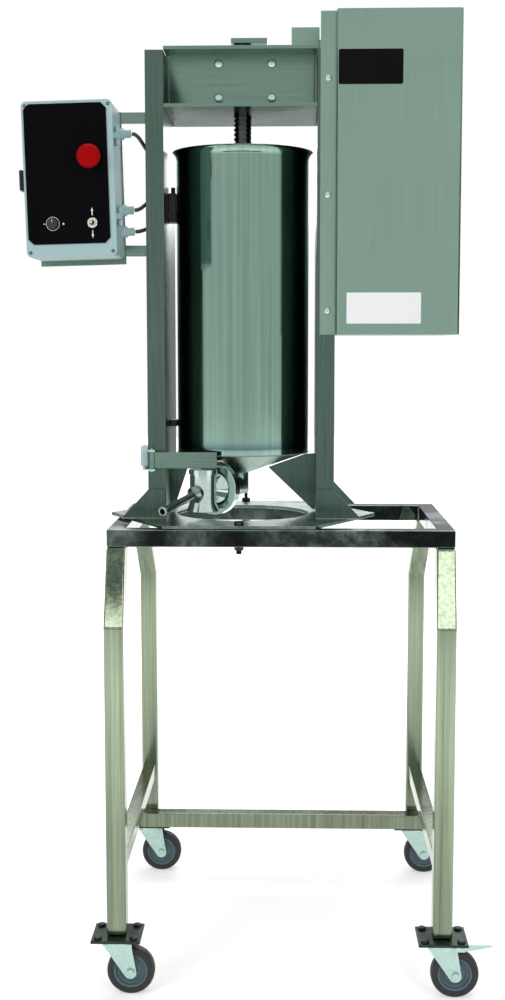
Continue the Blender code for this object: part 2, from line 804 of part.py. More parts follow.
def build_brake_pedal(swivel):
    """Foot pedal of the one braked caster, on a cross pin through its fork's ears."""
    x, y = leg_middle(1, -1)
    pin_x, pin_z = brake_pin(x)
    half = PEDAL_WIDTH / 2
    axis = pivot("brake_axis", (pin_x, y, pin_z), swivel)
    tread_low = pin_z + PEDAL_PIVOT_RADIUS + PEDAL_EAR / 2
    start = pin_x + PEDAL_PIVOT_RADIUS
    outline = [
        (pin_x - PEDAL_PIVOT_RADIUS - PEDAL_EAR, pin_z - PEDAL_PIVOT_RADIUS - PEDAL_EAR / 2),
        (start + PEDAL_EAR, pin_z - PEDAL_PIVOT_RADIUS - PEDAL_EAR / 2),
        (start + PEDAL_LENGTH, tread_low - PEDAL_SHEET / 2),
        (start + PEDAL_LENGTH, tread_low + PEDAL_SHEET / 2),
        (start, tread_low + PEDAL_SHEET / 2),
        (pin_x - PEDAL_PIVOT_RADIUS - PEDAL_EAR, tread_low),
    ]
    hole = circle(PEDAL_PIVOT_RADIUS + PEDAL_PIVOT_RUN, ROUND_SMALL, (pin_x, pin_z))
    mesh_data = bmesh.new()
    add_plate(mesh_data, outline, [hole], y - half, y + half, facing)
    finish("brake_pedal", mesh_data, zinc_steel(), axis, smooth=False)


def build_base_plate():
    """Six-sided plate under the posts, open under the outlet."""
    tip = BASE_PLATE_HALF_LENGTH
    front = BASE_PLATE_HALF_FRONT
    deep = BASE_PLATE_HALF_DEPTH
    corners = ((-tip, 0.0), (-front, -deep), (front, -deep), (tip, 0.0), (front, deep), (-front, deep))
    outline = [(MACHINE_X + u, v) for u, v in corners]
    holes = [circle(BASE_HOLE_RADIUS, ROUND_FINE, (MACHINE_X, 0.0))]
    for side in (-1, 1):
        centre = (MACHINE_X, side * (TABLE_DEPTH - TABLE_TUBE) / 2)
        holes.append(circle(HOLD_BOLT_HOLE, ROUND_SMALL, centre))
    mesh_data = bmesh.new()
    add_plate(mesh_data, outline, holes, TABLE_TOP + FIT_GAP, BASE_TOP, upright)
    return finish("base_plate", mesh_data, brushed_steel(), smooth=False)


def build_hold_down_bolts():
    """Front bolt and rear stud through the plate and the table's tubes."""
    seat = BASE_TOP + FIT_GAP
    for side, name in ((-1, "hold_down_bolt"), (1, "hold_down_stud")):
        mesh_data = bmesh.new()
        y = side * (TABLE_DEPTH - TABLE_TUBE) / 2
        rise = HOLD_STUD_RISE if side > 0 else HOLD_BOLT_HEAD_HEIGHT
        tail = TABLE_BOTTOM - HOLD_BOLT_TAIL
        low_nut = TABLE_BOTTOM - FIT_GAP
        bolt = [
            (0.0, tail),
            (HOLD_BOLT_RADIUS, tail),
            (HOLD_BOLT_RADIUS, low_nut - HOLD_BOLT_HEAD_HEIGHT),
            (HOLD_BOLT_HEAD, low_nut - HOLD_BOLT_HEAD_HEIGHT),
            (HOLD_BOLT_HEAD, low_nut),
            (HOLD_BOLT_RADIUS, low_nut),
            (HOLD_BOLT_RADIUS, seat),
            (HOLD_BOLT_HEAD, seat),
            (HOLD_BOLT_HEAD, seat + HOLD_BOLT_HEAD_HEIGHT),
            (HOLD_BOLT_RADIUS, seat + HOLD_BOLT_HEAD_HEIGHT + FIT_GAP),
            (HOLD_BOLT_RADIUS, seat + rise + WELD),
            (0.0, seat + rise + WELD),
        ]
        add_lathe(mesh_data, bolt, ROUND_SMALL, frame_at((MACHINE_X, y, 0.0)))
        finish(name, mesh_data, black_steel())


def build_post(name, side):
    """Folded channel, its web towards the cylinder and its open side outwards."""
    inner = side * POST_INNER
    web = side * (POST_INNER + POST_SHEET)
    outer = side * POST_SPAN / 2
    corners = (
        (inner, -POST_DEPTH / 2),
        (outer, -POST_DEPTH / 2),
        (outer, -POST_DEPTH / 2 + POST_SHEET),
        (web, -POST_DEPTH / 2 + POST_SHEET),
        (web, POST_DEPTH / 2 - POST_SHEET),
        (outer, POST_DEPTH / 2 - POST_SHEET),
        (outer, POST_DEPTH / 2),
        (inner, POST_DEPTH / 2),
    )
    outline = [(MACHINE_X + u, MACHINE_Y + v) for u, v in corners]
    mesh_data = bmesh.new()
    add_prism(mesh_data, outline, BASE_TOP + FIT_GAP, POST_TOP, upright)
    post = finish(name, mesh_data, brushed_steel(), smooth=False)
    add_post_feet(post, side)
    add_cradle(post, side)
    return post


def cut_belt_window(post):
    """Window in the right post's web for the belt."""
    half = DRIVEN_RADIUS + BELT_SHEET + BELT_WINDOW_SPARE
    low_z = CROSS_INNER_BOTTOM
    high_z = CROSS_INNER_BOTTOM + PULLEY_RISE + PULLEY_FACE + BELT_WINDOW_SPARE
    mesh_data = bmesh.new()
    low = machine(POST_INNER - CUT_OVERRUN, -half, low_z)
    high = machine(POST_INNER + POST_SHEET + CUT_OVERRUN, half, high_z)
    add_box(mesh_data, low, high)
    cut(post, finish("belt_window_cutter", mesh_data, brushed_steel(), smooth=False))


def add_post_feet(post, side):
    """Flared plates welded on the front and back of the post's foot."""
    mesh_data = bmesh.new()
    base = BASE_TOP + FIT_GAP + WELD / 2
    top = base + FOOT_HEIGHT
    inner = MACHINE_X + side * (POST_INNER + WELD)
    outer = MACHINE_X + side * POST_SPAN / 2
    flare = outer + side * FOOT_FLARE
    outline = [(inner, base), (flare, base), (outer - side * WELD, top), (inner, top)]
    add_prism(mesh_data, outline, POST_FRONT - FOOT_SHEET, POST_FRONT + WELD, facing)
    add_prism(mesh_data, outline, POST_REAR - WELD, POST_REAR + FOOT_SHEET, facing)
    weld(post, mesh_data, "feet")


def add_cradle(post, side):
    """Triangular plate on the post, whose sloping edge carries the funnel."""
    mesh_data = bmesh.new()
    post_face = POST_INNER + WELD
    foot = BASE_TOP + CRADLE_FOOT_RISE
    shoulder = CYLINDER_RADIUS - CRADLE_TOP_BACK
    tip = CRADLE_RIGHT_TIP if side > 0 else CRADLE_LEFT_TIP
    run = CYLINDER_RADIUS - THROAT_RADIUS - side * THROAT_X
    slope = FUNNEL_DROP / run
    drop = (CYLINDER_RADIUS - tip) * slope
    seat = CYLINDER_BOTTOM - FIT_GAP * 2 - CYLINDER_WALL
    outline = [
        (post_face, foot),
        (post_face, seat),
        (shoulder, seat - (CYLINDER_RADIUS - shoulder) * slope),
        (tip, seat - drop - CYLINDER_WALL),
        (post_face - CRADLE_FOOT_BACK, foot),
    ]
    placed = [(MACHINE_X + side * u, v) for u, v in outline]
    half = CRADLE_SHEET / 2
    add_prism(mesh_data, placed, MACHINE_Y - half, MACHINE_Y + half, facing)
    weld(post, mesh_data, "cradle")


def build_crosshead():
    """Welded beam between the posts: two webs, and flanges front and back."""
    half = POST_DEPTH / 2
    bottom = CROSS_BOTTOM
    top = CROSS_TOP
    low = CROSS_INNER_BOTTOM
    high = CROSS_INNER_TOP
    corners = (
        (-half, bottom), (half, bottom), (half, low), (WEB_HALF, low),
        (WEB_HALF, high), (half, high), (half, top), (-half, top),
        (-half, high), (-WEB_HALF, high), (-WEB_HALF, low), (-half, low),
    )
    outline = [(MACHINE_Y + u, v) for u, v in corners]
    inner = WEB_HALF - CROSS_SHEET
    window = [(MACHINE_Y - inner, low), (MACHINE_Y + inner, low)]
    window += [(MACHINE_Y + inner, high), (MACHINE_Y - inner, high)]
    reach = POST_INNER - FIT_GAP
    mesh_data = bmesh.new()
    add_plate(mesh_data, outline, [window], MACHINE_X - reach, MACHINE_X + reach, crosswise)
    return finish("crosshead", mesh_data, brushed_steel(), smooth=False)


def housing_bolt_places():
    """Places of the eight bolts, as (x, z, side) from the machine's axis."""
    middle = (CROSS_BOTTOM + CROSS_TOP) / 2
    places = []
    for side in (-1, 1):
        for across in (-1, 1):
            for rise in (-1, 1):
                x = BOLT_OFFSET_X + across * BOLT_SPACING_X / 2
                places.append((x, middle + rise * BOLT_SPACING_Z / 2, side))
    return places


def bolt_depth():
    """How far a housing bolt reaches behind the face of the web."""
    return CROSS_SHEET + FIT_GAP + HOUSING_CHEEK


def build_bearing_housing():
    """Bridge bolted between the webs: two cheeks and a block that holds the nut."""
    half = WEB_HALF - CROSS_SHEET - FIT_GAP
    cheek = half - HOUSING_CHEEK
    low = CROSS_INNER_BOTTOM + FIT_GAP
    high = CROSS_INNER_TOP - FIT_GAP
    block = high - HOUSING_BLOCK
    corners = (
        (-half, low), (-cheek, low), (-cheek, block), (cheek, block),
        (cheek, low), (half, low), (half, high), (-half, high),
    )
    outline = [(MACHINE_Y + u, v) for u, v in corners]
    middle = MACHINE_X + BOLT_OFFSET_X
    reach = BOLT_SPACING_X / 2 + HOUSING_END
    mesh_data = bmesh.new()
    add_prism(mesh_data, outline, middle - reach, middle + reach, crosswise)
    return finish("bearing_housing", mesh_data, brushed_steel(), smooth=False)


def cut_crosshead_holes(crosshead, housing):
    """Holes for the screw, the nut and the eight bolts."""
    mesh_data = bmesh.new()
    for x, z, side in housing_bolt_places():
        face = MACHINE_Y + side * (WEB_HALF + CUT_OVERRUN)
        end = MACHINE_Y + side * (WEB_HALF - CROSS_SHEET - CUT_OVERRUN)
        add_rod(mesh_data, BOLT_HOLE, (MACHINE_X + x, face, z), (MACHINE_X + x, end, z), ROUND_SMALL)
    cut(crosshead, finish("bolt_hole_cutter", mesh_data, brushed_steel()))
    mesh_data = bmesh.new()
    hole = SCREW_RADIUS + SCREW_RUN + NUT_RUN
    low = CROSS_BOTTOM - CUT_OVERRUN
    add_rod(mesh_data, hole, machine(0.0, 0.0, low), machine(0.0, 0.0, CROSS_TOP + CUT_OVERRUN), ROUND_MID)
    cut(crosshead, finish("screw_hole_cutter", mesh_data, brushed_steel()))
    mesh_data = bmesh.new()
    low = CROSS_INNER_TOP - HOUSING_BLOCK - CUT_OVERRUN
    bore = nut_radius() + NUT_RUN
    high = CROSS_INNER_TOP + CUT_OVERRUN
    add_rod(mesh_data, bore, machine(0.0, 0.0, low), machine(0.0, 0.0, high), ROUND_MID)
    cut(housing, finish("nut_bore_cutter", mesh_data, brushed_steel()))
    add_housing_bolts(housing)


def nut_radius():
    """Outer radius of the turning nut."""
    return SCREW_RADIUS + SCREW_RUN + NUT_WALL


def add_housing_bolts(housing):
    """Domed bolts through the webs, one with the housing that they are screwed into."""
    mesh_data = bmesh.new()
    for x, z, side in housing_bolt_places():
        seat = MACHINE_Y + side * (WEB_HALF + FIT_GAP)
        shank = bolt_depth() - WELD * 2
        frame = frame_at((MACHINE_X + x, seat, z), (0.0, side, 0.0))
        bolt = [
            (0.0, -shank),
            (BOLT_RADIUS, -shank),
            (BOLT_RADIUS, 0.0),
            (BOLT_HEAD, 0.0),
            (BOLT_HEAD, BOLT_HEAD_HEIGHT / 3),
            (BOLT_HEAD * BOLT_DOME_SHARE, BOLT_HEAD_HEIGHT * BOLT_DOME_SHARE),
            (0.0, BOLT_HEAD_HEIGHT),
        ]
        add_lathe(mesh_data, bolt, ROUND_SMALL, frame)
    weld(housing, mesh_data, "bolts")


def build_drive_nut(axis):
    """Bronze nut that turns in the housing and drives the screw up and down."""
    bore = SCREW_RADIUS + SCREW_RUN
    low = CROSS_INNER_BOTTOM + FIT_GAP
    high = CROSS_INNER_TOP - FIT_GAP
    outer = nut_radius()
    mesh_data = bmesh.new()
    add_lathe(mesh_data, [(bore, low), (outer, low), (outer, high), (bore, high)], ROUND_MID,
              frame_at(machine(0.0, 0.0, 0.0)))
    return finish("drive_nut", mesh_data, bronze(), axis)


def pulley_profile(bore, radius, low):
    """Flat pulley with a lip above and below the belt."""
    lip = radius + PULLEY_LIP
    high = low + PULLEY_FACE
    return [
        (bore, low),
        (lip, low),
        (lip, low + PULLEY_LIP_HEIGHT),
        (radius, low + PULLEY_LIP_HEIGHT),
        (radius, high - PULLEY_LIP_HEIGHT),
        (lip, high - PULLEY_LIP_HEIGHT),
        (lip, high),
        (bore, high),
    ]


def build_pulleys(nut_axis, motor_axis):
    """Large pulley on the nut and small pulley, with its shaft, on the motor."""
    low = CROSS_INNER_BOTTOM + PULLEY_RISE
    mesh_data = bmesh.new()
    add_lathe(mesh_data, pulley_profile(nut_radius() + FIT_GAP, DRIVEN_RADIUS, low), ROUND_MID,
              frame_at(machine(0.0, 0.0, 0.0)))
    finish("driven_pulley", mesh_data, brushed_steel(), nut_axis)
    foot = CROSS_INNER_BOTTOM - MOTOR_BRACKET_SHEET + WELD + FIT_GAP
    profile = [(0.0, foot), (MOTOR_SHAFT_RADIUS, foot), (MOTOR_SHAFT_RADIUS, low)]
    profile += pulley_profile(MOTOR_SHAFT_RADIUS, DRIVER_RADIUS, low)[1:-1]
    profile.append((0.0, low + PULLEY_FACE))
    mesh_data = bmesh.new()
    add_lathe(mesh_data, profile, ROUND_MID, frame_at(machine(DRIVE_CENTRES, 0.0, 0.0)))
    finish("motor_pulley", mesh_data, brushed_steel(), motor_axis)


def belt_line(extra):
    """Outline round both pulleys, a given distance off their faces."""
    lean = math.acos((DRIVEN_RADIUS - DRIVER_RADIUS) / DRIVE_CENTRES)
    points = []
    for index in range(BELT_ARC_POINTS + 1):
        angle = lean + (math.tau - lean * 2) * index / BELT_ARC_POINTS
        radius = DRIVEN_RADIUS + extra
        points.append((MACHINE_X + radius * math.cos(angle), MACHINE_Y + radius * math.sin(angle)))
    middle = MACHINE_X + DRIVE_CENTRES
    for index in range(BELT_ARC_POINTS + 1):
        angle = -lean + lean * 2 * index / BELT_ARC_POINTS
        radius = DRIVER_RADIUS + extra
        points.append((middle + radius * math.cos(angle), MACHINE_Y + radius * math.sin(angle)))
    return points


def build_belt():
    """Flat belt round both pulleys."""
    low = CROSS_INNER_BOTTOM + PULLEY_RISE + (PULLEY_FACE - BELT_WIDTH) / 2
    mesh_data = bmesh.new()
    outer = belt_line(BELT_RUN + BELT_SHEET)
    add_plate(mesh_data, outer, [belt_line(BELT_RUN)], low, low + BELT_WIDTH, upright)
    return finish("drive_belt", mesh_data, rubber())


def build_motor():
    """Gear motor on its angle bracket, which stands off the right post's web."""
    start = POST_INNER + POST_SHEET + FIT_GAP
    top = CROSS_INNER_BOTTOM
    shelf = top - MOTOR_BRACKET_SHEET
    corners = (
        (start, top), (start, top - MOTOR_BRACKET_DROP),
        (start + MOTOR_BRACKET_SHEET, top - MOTOR_BRACKET_DROP),
        (start + MOTOR_BRACKET_SHEET, shelf),
        (start + MOTOR_BRACKET_REACH, shelf), (start + MOTOR_BRACKET_REACH, top),
    )
    outline = [(MACHINE_X + u, v) for u, v in corners]
    half = MOTOR_BRACKET_WIDTH / 2
    mesh_data = bmesh.new()
    add_prism(mesh_data, outline, MACHINE_Y - half, MACHINE_Y + half, facing)
    motor = finish("gear_motor", mesh_data, motor_paint(), smooth=False)
    mesh_data = bmesh.new()
    add_rod(mesh_data, MOTOR_SHAFT_HOLE, machine(DRIVE_CENTRES, 0.0, shelf - CUT_OVERRUN),
            machine(DRIVE_CENTRES, 0.0, top + CUT_OVERRUN), ROUND_SMALL)
    cut(motor, finish("shaft_hole_cutter", mesh_data, brushed_steel()))
    side = GEARBOX_SIDE / 2
    high = shelf + WELD
    low = high - GEARBOX_HEIGHT
    mesh_data = bmesh.new()
    add_box(mesh_data, machine(DRIVE_CENTRES - side, -side, low), machine(DRIVE_CENTRES + side, side, high))
    weld(motor, mesh_data, "gearbox")
    mesh_data = bmesh.new()
    add_rod(mesh_data, MOTOR_RADIUS, machine(DRIVE_CENTRES, 0.0, low - MOTOR_LENGTH),
            machine(DRIVE_CENTRES, 0.0, low + WELD), ROUND_MID)
    weld(motor, mesh_data, "casing")


def corner_arc(centre, radius, start, sweep):
    """Points of one rounded corner."""
    points = []
    for index in range(COVER_CORNER_POINTS):
        angle = math.radians(start + sweep * index / (COVER_CORNER_POINTS - 1))
        points.append((centre[0] + radius * math.cos(angle), centre[1] + radius * math.sin(angle)))
    return points


def cover_line(inset):
    """Folded line of the cover's sheet in plan, a given distance inside its outer face."""
    step = MACHINE_X + POST_SPAN / 2 + FIT_GAP + inset
    end = MACHINE_X + POST_SPAN / 2 + FIT_GAP + COVER_WIDTH - inset
    tab = MACHINE_X + POST_SPAN / 2 - COVER_FLANGE
    front = POST_FRONT - COVER_PROUD + inset
    rear = POST_REAR + COVER_PROUD - inset
    front_tab = POST_FRONT - FIT_GAP - COVER_SHEET + inset
    rear_tab = POST_REAR + FIT_GAP + COVER_SHEET - inset
    radius = COVER_CORNER - inset
    quarter = 90.0
    points = [(tab, front_tab), (step, front_tab)]
    points += corner_arc((step + radius, front + radius), radius, quarter * 2, quarter)
    points += corner_arc((end - radius, front + radius), radius, quarter * 3, quarter)
    points += corner_arc((end - radius, rear - radius), radius, 0.0, quarter)
    points += corner_arc((step + radius, rear - radius), radius, quarter, quarter)
    points += [(step, rear_tab), (tab, rear_tab)]
    return points


def build_drive_cover():
    """Folded sheet cover on the right post, with its lids and its flange screws."""
    mesh_data = bmesh.new()
    outline = cover_line(0.0) + cover_line(COVER_SHEET)[::-1]
    add_prism(mesh_data, outline, COVER_BOTTOM, COVER_TOP, upright)
    cover = finish("drive_cover", mesh_data, brushed_steel())
    lids = bmesh.new()
    edge = COVER_SHEET / 4
    lid = cover_line(edge)[2:-2]
    add_prism(lids, lid, COVER_BOTTOM + edge, COVER_BOTTOM + edge + COVER_SHEET, upright)
    add_prism(lids, lid, COVER_TOP - edge - COVER_SHEET, COVER_TOP - edge, upright)
    weld(cover, lids, "lids")
    screws = bmesh.new()
    for x, y, z, side in cover_screw_places():
        foot = (x, y - side * WELD, z)
        add_rod(screws, COVER_SCREW_HEAD, foot, (x, y + side * COVER_SCREW_HEIGHT, z), ROUND_SMALL)
    weld(cover, screws, "screws")


def cover_screw_places():
    """Seats of the cover's flange screws, front and rear, with the side they face."""
    x = MACHINE_X + POST_SPAN / 2 - COVER_FLANGE / 2
    places = []
    for share in COVER_SCREW_Z_SHARES:
        z = COVER_BOTTOM + (COVER_TOP - COVER_BOTTOM) * share
        places.append((x, POST_FRONT - FIT_GAP - COVER_SHEET, z, -1))
        places.append((x, POST_REAR + FIT_GAP + COVER_SHEET, z, 1))
    return places


def build_end_switch():
    """Small switch box on the crosshead that the stop plate works."""
    left = MACHINE_X + END_SWITCH_LEFT
    half = END_SWITCH_DEPTH / 2
    low = (left, MACHINE_Y - half, CROSS_TOP + FIT_GAP)
    high = (left + END_SWITCH_WIDTH, MACHINE_Y + half, CROSS_TOP + END_SWITCH_HEIGHT)
    mesh_data = bmesh.new()
    add_box(mesh_data, low, high)
    return finish("end_switch", mesh_data, brushed_steel(), smooth=False)


def build_cylinder():
    """Open steel cylinder with a flared rim."""
    outer = [(CYLINDER_RADIUS, CYLINDER_BOTTOM)]
    for index in range(RIM_POINTS):
        angle = math.pi / 2 * index / (RIM_POINTS - 1)
        radius = CYLINDER_RADIUS + (RIM_RADIUS - CYLINDER_RADIUS) * (1 - math.cos(angle))
        outer.append((radius, CYLINDER_TOP - RIM_HEIGHT + RIM_HEIGHT * math.sin(angle)))
    inner = [(radius - CYLINDER_WALL, height) for radius, height in reversed(outer)]
    mesh_data = bmesh.new()
    add_lathe(mesh_data, outer + inner, ROUND_FINE, frame_at(machine(0.0, 0.0, 0.0)))
    return finish("cylinder", mesh_data, polished_steel())


def join_rings(mesh_data, rings):
    """Skin a closed series of rings, the last one back to the first."""
    count = len(rings[0])
    for ring, after in zip(rings, rings[1:] + rings[:1]):
        for index in range(count):
            step = (index + 1) % count
            mesh_data.faces.new((ring[index], ring[step], after[step], after[index]))


def build_funnel():
    """Off-centre cone under the cylinder, with the mitred elbow welded to its throat."""
    top = CYLINDER_BOTTOM - FIT_GAP
    bottom = top - FUNNEL_DROP
    back = ELBOW_REACH - FLANGE_SHEET
    inner = THROAT_RADIUS - CYLINDER_WALL
    wide = CYLINDER_RADIUS - CYLINDER_WALL

    def ring(radius, centre, height_of, reach=None):
        points = []
        for u, v in circle(radius, ROUND_FINE):
            along = u if reach is None else reach
            x = centre[0] + along * OUT_X - v * OUT_Y
            y = centre[1] + along * OUT_Y + v * OUT_X
            points.append(machine(x, y, height_of(u)))
        return points

    def level(height):
        return lambda u: height

    def tilted(u):
        return OUTLET_AXIS_Z + u

    throat = (THROAT_X, THROAT_Y)
    order = [
        ring(CYLINDER_RADIUS, (0.0, 0.0), level(top)),
        ring(THROAT_RADIUS, throat, level(bottom)),
        ring(THROAT_RADIUS, throat, tilted),
        ring(THROAT_RADIUS, throat, tilted, back),
        ring(FLANGE_RADIUS, throat, tilted, back),
        ring(FLANGE_RADIUS, throat, tilted, ELBOW_REACH),
        ring(inner, throat, tilted, ELBOW_REACH),
        ring(inner, throat, tilted),
        ring(inner, throat, level(bottom)),
        ring(wide, (0.0, 0.0), level(top)),
    ]
    mesh_data = bmesh.new()
    join_rings(mesh_data, [[mesh_data.verts.new(point) for point in points] for points in order])
    finish("outlet_funnel", mesh_data, polished_steel())


def outlet_point(distance, z=OUTLET_AXIS_Z):
    """A point along the outlet's axis, from the throat."""
    return machine(THROAT_X + distance * OUT_X, THROAT_Y + distance * OUT_Y, z)


def build_outlet():
    """Union nut, valve body and stuffing nozzle in front of the elbow."""
    axis = frame_at(outlet_point(ELBOW_REACH), (OUT_X, OUT_Y, 0.0))
    bore = FLANGE_RADIUS + UNION_RUN
    lip = CONE_BASE_SHEET + FIT_GAP * 2
    ring = [
        (bore, -UNION_BEHIND),
        (UNION_RADIUS, -UNION_BEHIND),
        (UNION_RADIUS, lip + UNION_LIP),
        (UNION_NECK, lip + UNION_LIP),
        (UNION_NECK, lip),
        (bore, lip),
    ]
    mesh_data = bmesh.new()
    add_lathe(mesh_data, ring, ROUND_MID, axis)
    finish("union_nut", mesh_data, polished_steel())
    face = VALVE_DISTANCE - VALVE_RADIUS - FIT_GAP
    cone = [
        (0.0, FIT_GAP),
        (CONE_BASE, FIT_GAP),
        (CONE_BASE, FIT_GAP + CONE_BASE_SHEET),
        (CONE_START, FIT_GAP + CONE_BASE_SHEET),
        (CONE_END, face),
        (CONE_END, face + BOSS_LENGTH),
        (0.0, face + BOSS_LENGTH),
    ]
    valve = frame_at(outlet_point(ELBOW_REACH + VALVE_DISTANCE, 0.0))
    body = [
        (0.0, VALVE_BOTTOM),
        (VALVE_FLARE, VALVE_BOTTOM),
        (VALVE_RADIUS, VALVE_BOTTOM + VALVE_FLARE_HEIGHT),
        (VALVE_RADIUS, VALVE_TOP),
        (VALVE_COLLAR_RADIUS, VALVE_TOP),
        (VALVE_COLLAR_RADIUS, VALVE_TOP + VALVE_COLLAR_HEIGHT),
        (0.0, VALVE_TOP + VALVE_COLLAR_HEIGHT),
    ]
    mesh_data = bmesh.new()
    add_lathe(mesh_data, body, ROUND_MID, valve)
    made = finish("valve_body", mesh_data, polished_steel())
    mesh_data = bmesh.new()
    add_lathe(mesh_data, cone, ROUND_MID, axis)
    weld(made, mesh_data, "cone")
    drop = math.sin(NOZZLE_TILT)
    flat = math.cos(NOZZLE_TILT)
    nozzle_axis = frame_at(outlet_point(ELBOW_REACH + VALVE_DISTANCE), (OUT_X * flat, OUT_Y * flat, -drop))
    foot = VALVE_RADIUS / 2
    boss = VALVE_RADIUS + BOSS_LENGTH
    end = boss + NOZZLE_LENGTH
    tube = [
        (NOZZLE_BORE, foot),
        (BOSS_RADIUS, foot),
        (BOSS_RADIUS, VALVE_RADIUS + BOSS_LENGTH / 2),
        (NOZZLE_LIP_RADIUS, boss),
        (NOZZLE_RADIUS, boss + BOSS_LENGTH / 2),
        (NOZZLE_RADIUS, end - NOZZLE_LIP_LENGTH),
        (NOZZLE_LIP_RADIUS, end - NOZZLE_LIP_LENGTH),
        (NOZZLE_LIP_RADIUS, end),
        (NOZZLE_BORE, end),
    ]
    mesh_data = bmesh.new()
    add_lathe(mesh_data, tube, ROUND_MID, nozzle_axis)
    nozzle = finish("nozzle", mesh_data, polished_steel())
    mesh_data = bmesh.new()
    low = outlet_point(ELBOW_REACH + VALVE_DISTANCE, VALVE_BOTTOM)
    high = outlet_point(ELBOW_REACH + VALVE_DISTANCE, VALVE_TOP)
    add_rod(mesh_data, VALVE_RADIUS + FIT_GAP, low, high, ROUND_FINE)
    cut(nozzle, finish("valve_seat_cutter", mesh_data, polished_steel()))


def build_piston(axis):
    """Screw with its piston, seal and stop plate, which rise and fall together."""
    frame = frame_at(machine(0.0, 0.0, PISTON_REST))
    radius = CYLINDER_RADIUS - CYLINDER_WALL - PISTON_RUN
    groove = radius - SEAL_DEPTH
    low = (PISTON_HEIGHT - SEAL_HEIGHT) / 2
    high = low + SEAL_HEIGHT
    profile = [
        (0.0, 0.0),
        (radius - PISTON_EDGE, 0.0),
        (radius, PISTON_EDGE),
        (radius, low),
        (groove, low),
        (groove, high),
        (radius, high),
        (radius, PISTON_HEIGHT - PISTON_EDGE),
        (radius - PISTON_EDGE, PISTON_HEIGHT),
        (0.0, PISTON_HEIGHT),
    ]
    mesh_data = bmesh.new()
    add_lathe(mesh_data, profile, ROUND_FINE, frame)
    finish("piston", mesh_data, polished_steel(), axis)
    inner = groove + FIT_GAP
    outer = CYLINDER_RADIUS - CYLINDER_WALL - SEAL_RUN
    mesh_data = bmesh.new()
    ring = [(inner, low + FIT_GAP), (outer, low + FIT_GAP), (outer, high - FIT_GAP), (inner, high - FIT_GAP)]
    add_lathe(mesh_data, ring, ROUND_FINE, frame)
    finish("piston_seal", mesh_data, rubber(), axis)
    stop = STOP_PLATE_TOP - STOP_PLATE_SHEET
    mesh_data = bmesh.new()
    add_rod(mesh_data, SCREW_RADIUS, machine(0.0, 0.0, PISTON_REST + PISTON_HEIGHT + FIT_GAP),
            machine(0.0, 0.0, stop - FIT_GAP), ROUND_MID)
    finish("lift_screw", mesh_data, black_steel(), axis)
    mesh_data = bmesh.new()
    add_box(mesh_data, machine(-STOP_PLATE_LEFT, -STOP_PLATE_HALF_DEPTH, stop),
            machine(STOP_PLATE_RIGHT, STOP_PLATE_HALF_DEPTH, STOP_PLATE_TOP))
    finish("stop_plate", mesh_data, brushed_steel(), axis, smooth=False)


def build_cylinder_brackets():
    """Black blocks between the left post and the cylinder, the upper one with its pin."""
    left = -POST_INNER + FIT_GAP
    right = -CYLINDER_RADIUS - FIT_GAP
    half = BRACKET_HALF_DEPTH
    blocks = (
        ("cylinder_bracket_upper", BRACKET_UPPER_Z, BRACKET_UPPER_HEIGHT),
        ("cylinder_bracket_lower", BRACKET_LOWER_Z, BRACKET_LOWER_HEIGHT),
    )
    for name, low, height in blocks:
        mesh_data = bmesh.new()
        add_box(mesh_data, machine(left, -half, low), machine(right, half, low + height))
        block = finish(name, mesh_data, black_steel(), smooth=False)
        if height == BRACKET_UPPER_HEIGHT:
            pin = bmesh.new()
            middle = (left + right) / 2
            add_rod(pin, BRACKET_PIN_RADIUS, machine(middle, 0.0, low + height - WELD),
                    machine(middle, 0.0, low + height + BRACKET_PIN_RISE), ROUND_SMALL)
            weld(block, pin, "pin")


def build_retaining_bar():
    """Bar that swings across the outlet, on a pin in two lugs on the left post."""
    x = MACHINE_X - POST_SPAN / 2 + BAR_HINGE_INSET
    y = POST_FRONT - BAR_OFFSET
    axis = pivot("retaining_bar_axis", (x, y, BAR_BOTTOM))
    half = BAR_SHEET / 2
    start = math.asin(half / BAR_KNUCKLE)
    outline = [(x + BAR_LENGTH, y - half), (x + BAR_LENGTH, y + half)]
    for index in range(ROUND_SMALL):
        angle = start + (math.tau - start * 2) * index / (ROUND_SMALL - 1)
        outline.append((x + BAR_KNUCKLE * math.cos(angle), y + BAR_KNUCKLE * math.sin(angle)))
    bore = circle(BAR_PIN_RADIUS + BAR_PIN_RUN, ROUND_SMALL, (x, y))
    mesh_data = bmesh.new()
    add_plate(mesh_data, outline, [bore], BAR_BOTTOM, BAR_BOTTOM + BAR_HEIGHT, upright)
    finish("retaining_bar", mesh_data, brushed_steel(), axis)
    top = BAR_BOTTOM + BAR_HEIGHT + BAR_PIN_RUN
    low = BAR_BOTTOM - BAR_PIN_RUN
    mesh_data = bmesh.new()
    add_rod(mesh_data, BAR_PIN_RADIUS, (x, y, low - BAR_LUG_HEIGHT * 3 / 2),
            (x, y, top + BAR_LUG_HEIGHT * 3 / 2), ROUND_SMALL)
    hinge = finish("bar_hinge", mesh_data, brushed_steel())
    lugs = bmesh.new()
    for start, end in ((low - BAR_LUG_HEIGHT, low), (top, top + BAR_LUG_HEIGHT)):
        add_box(lugs, (x - BAR_KNUCKLE, y - BAR_KNUCKLE, start), (x + BAR_KNUCKLE, POST_FRONT - FIT_GAP, end))
    weld(hinge, lugs, "lugs")


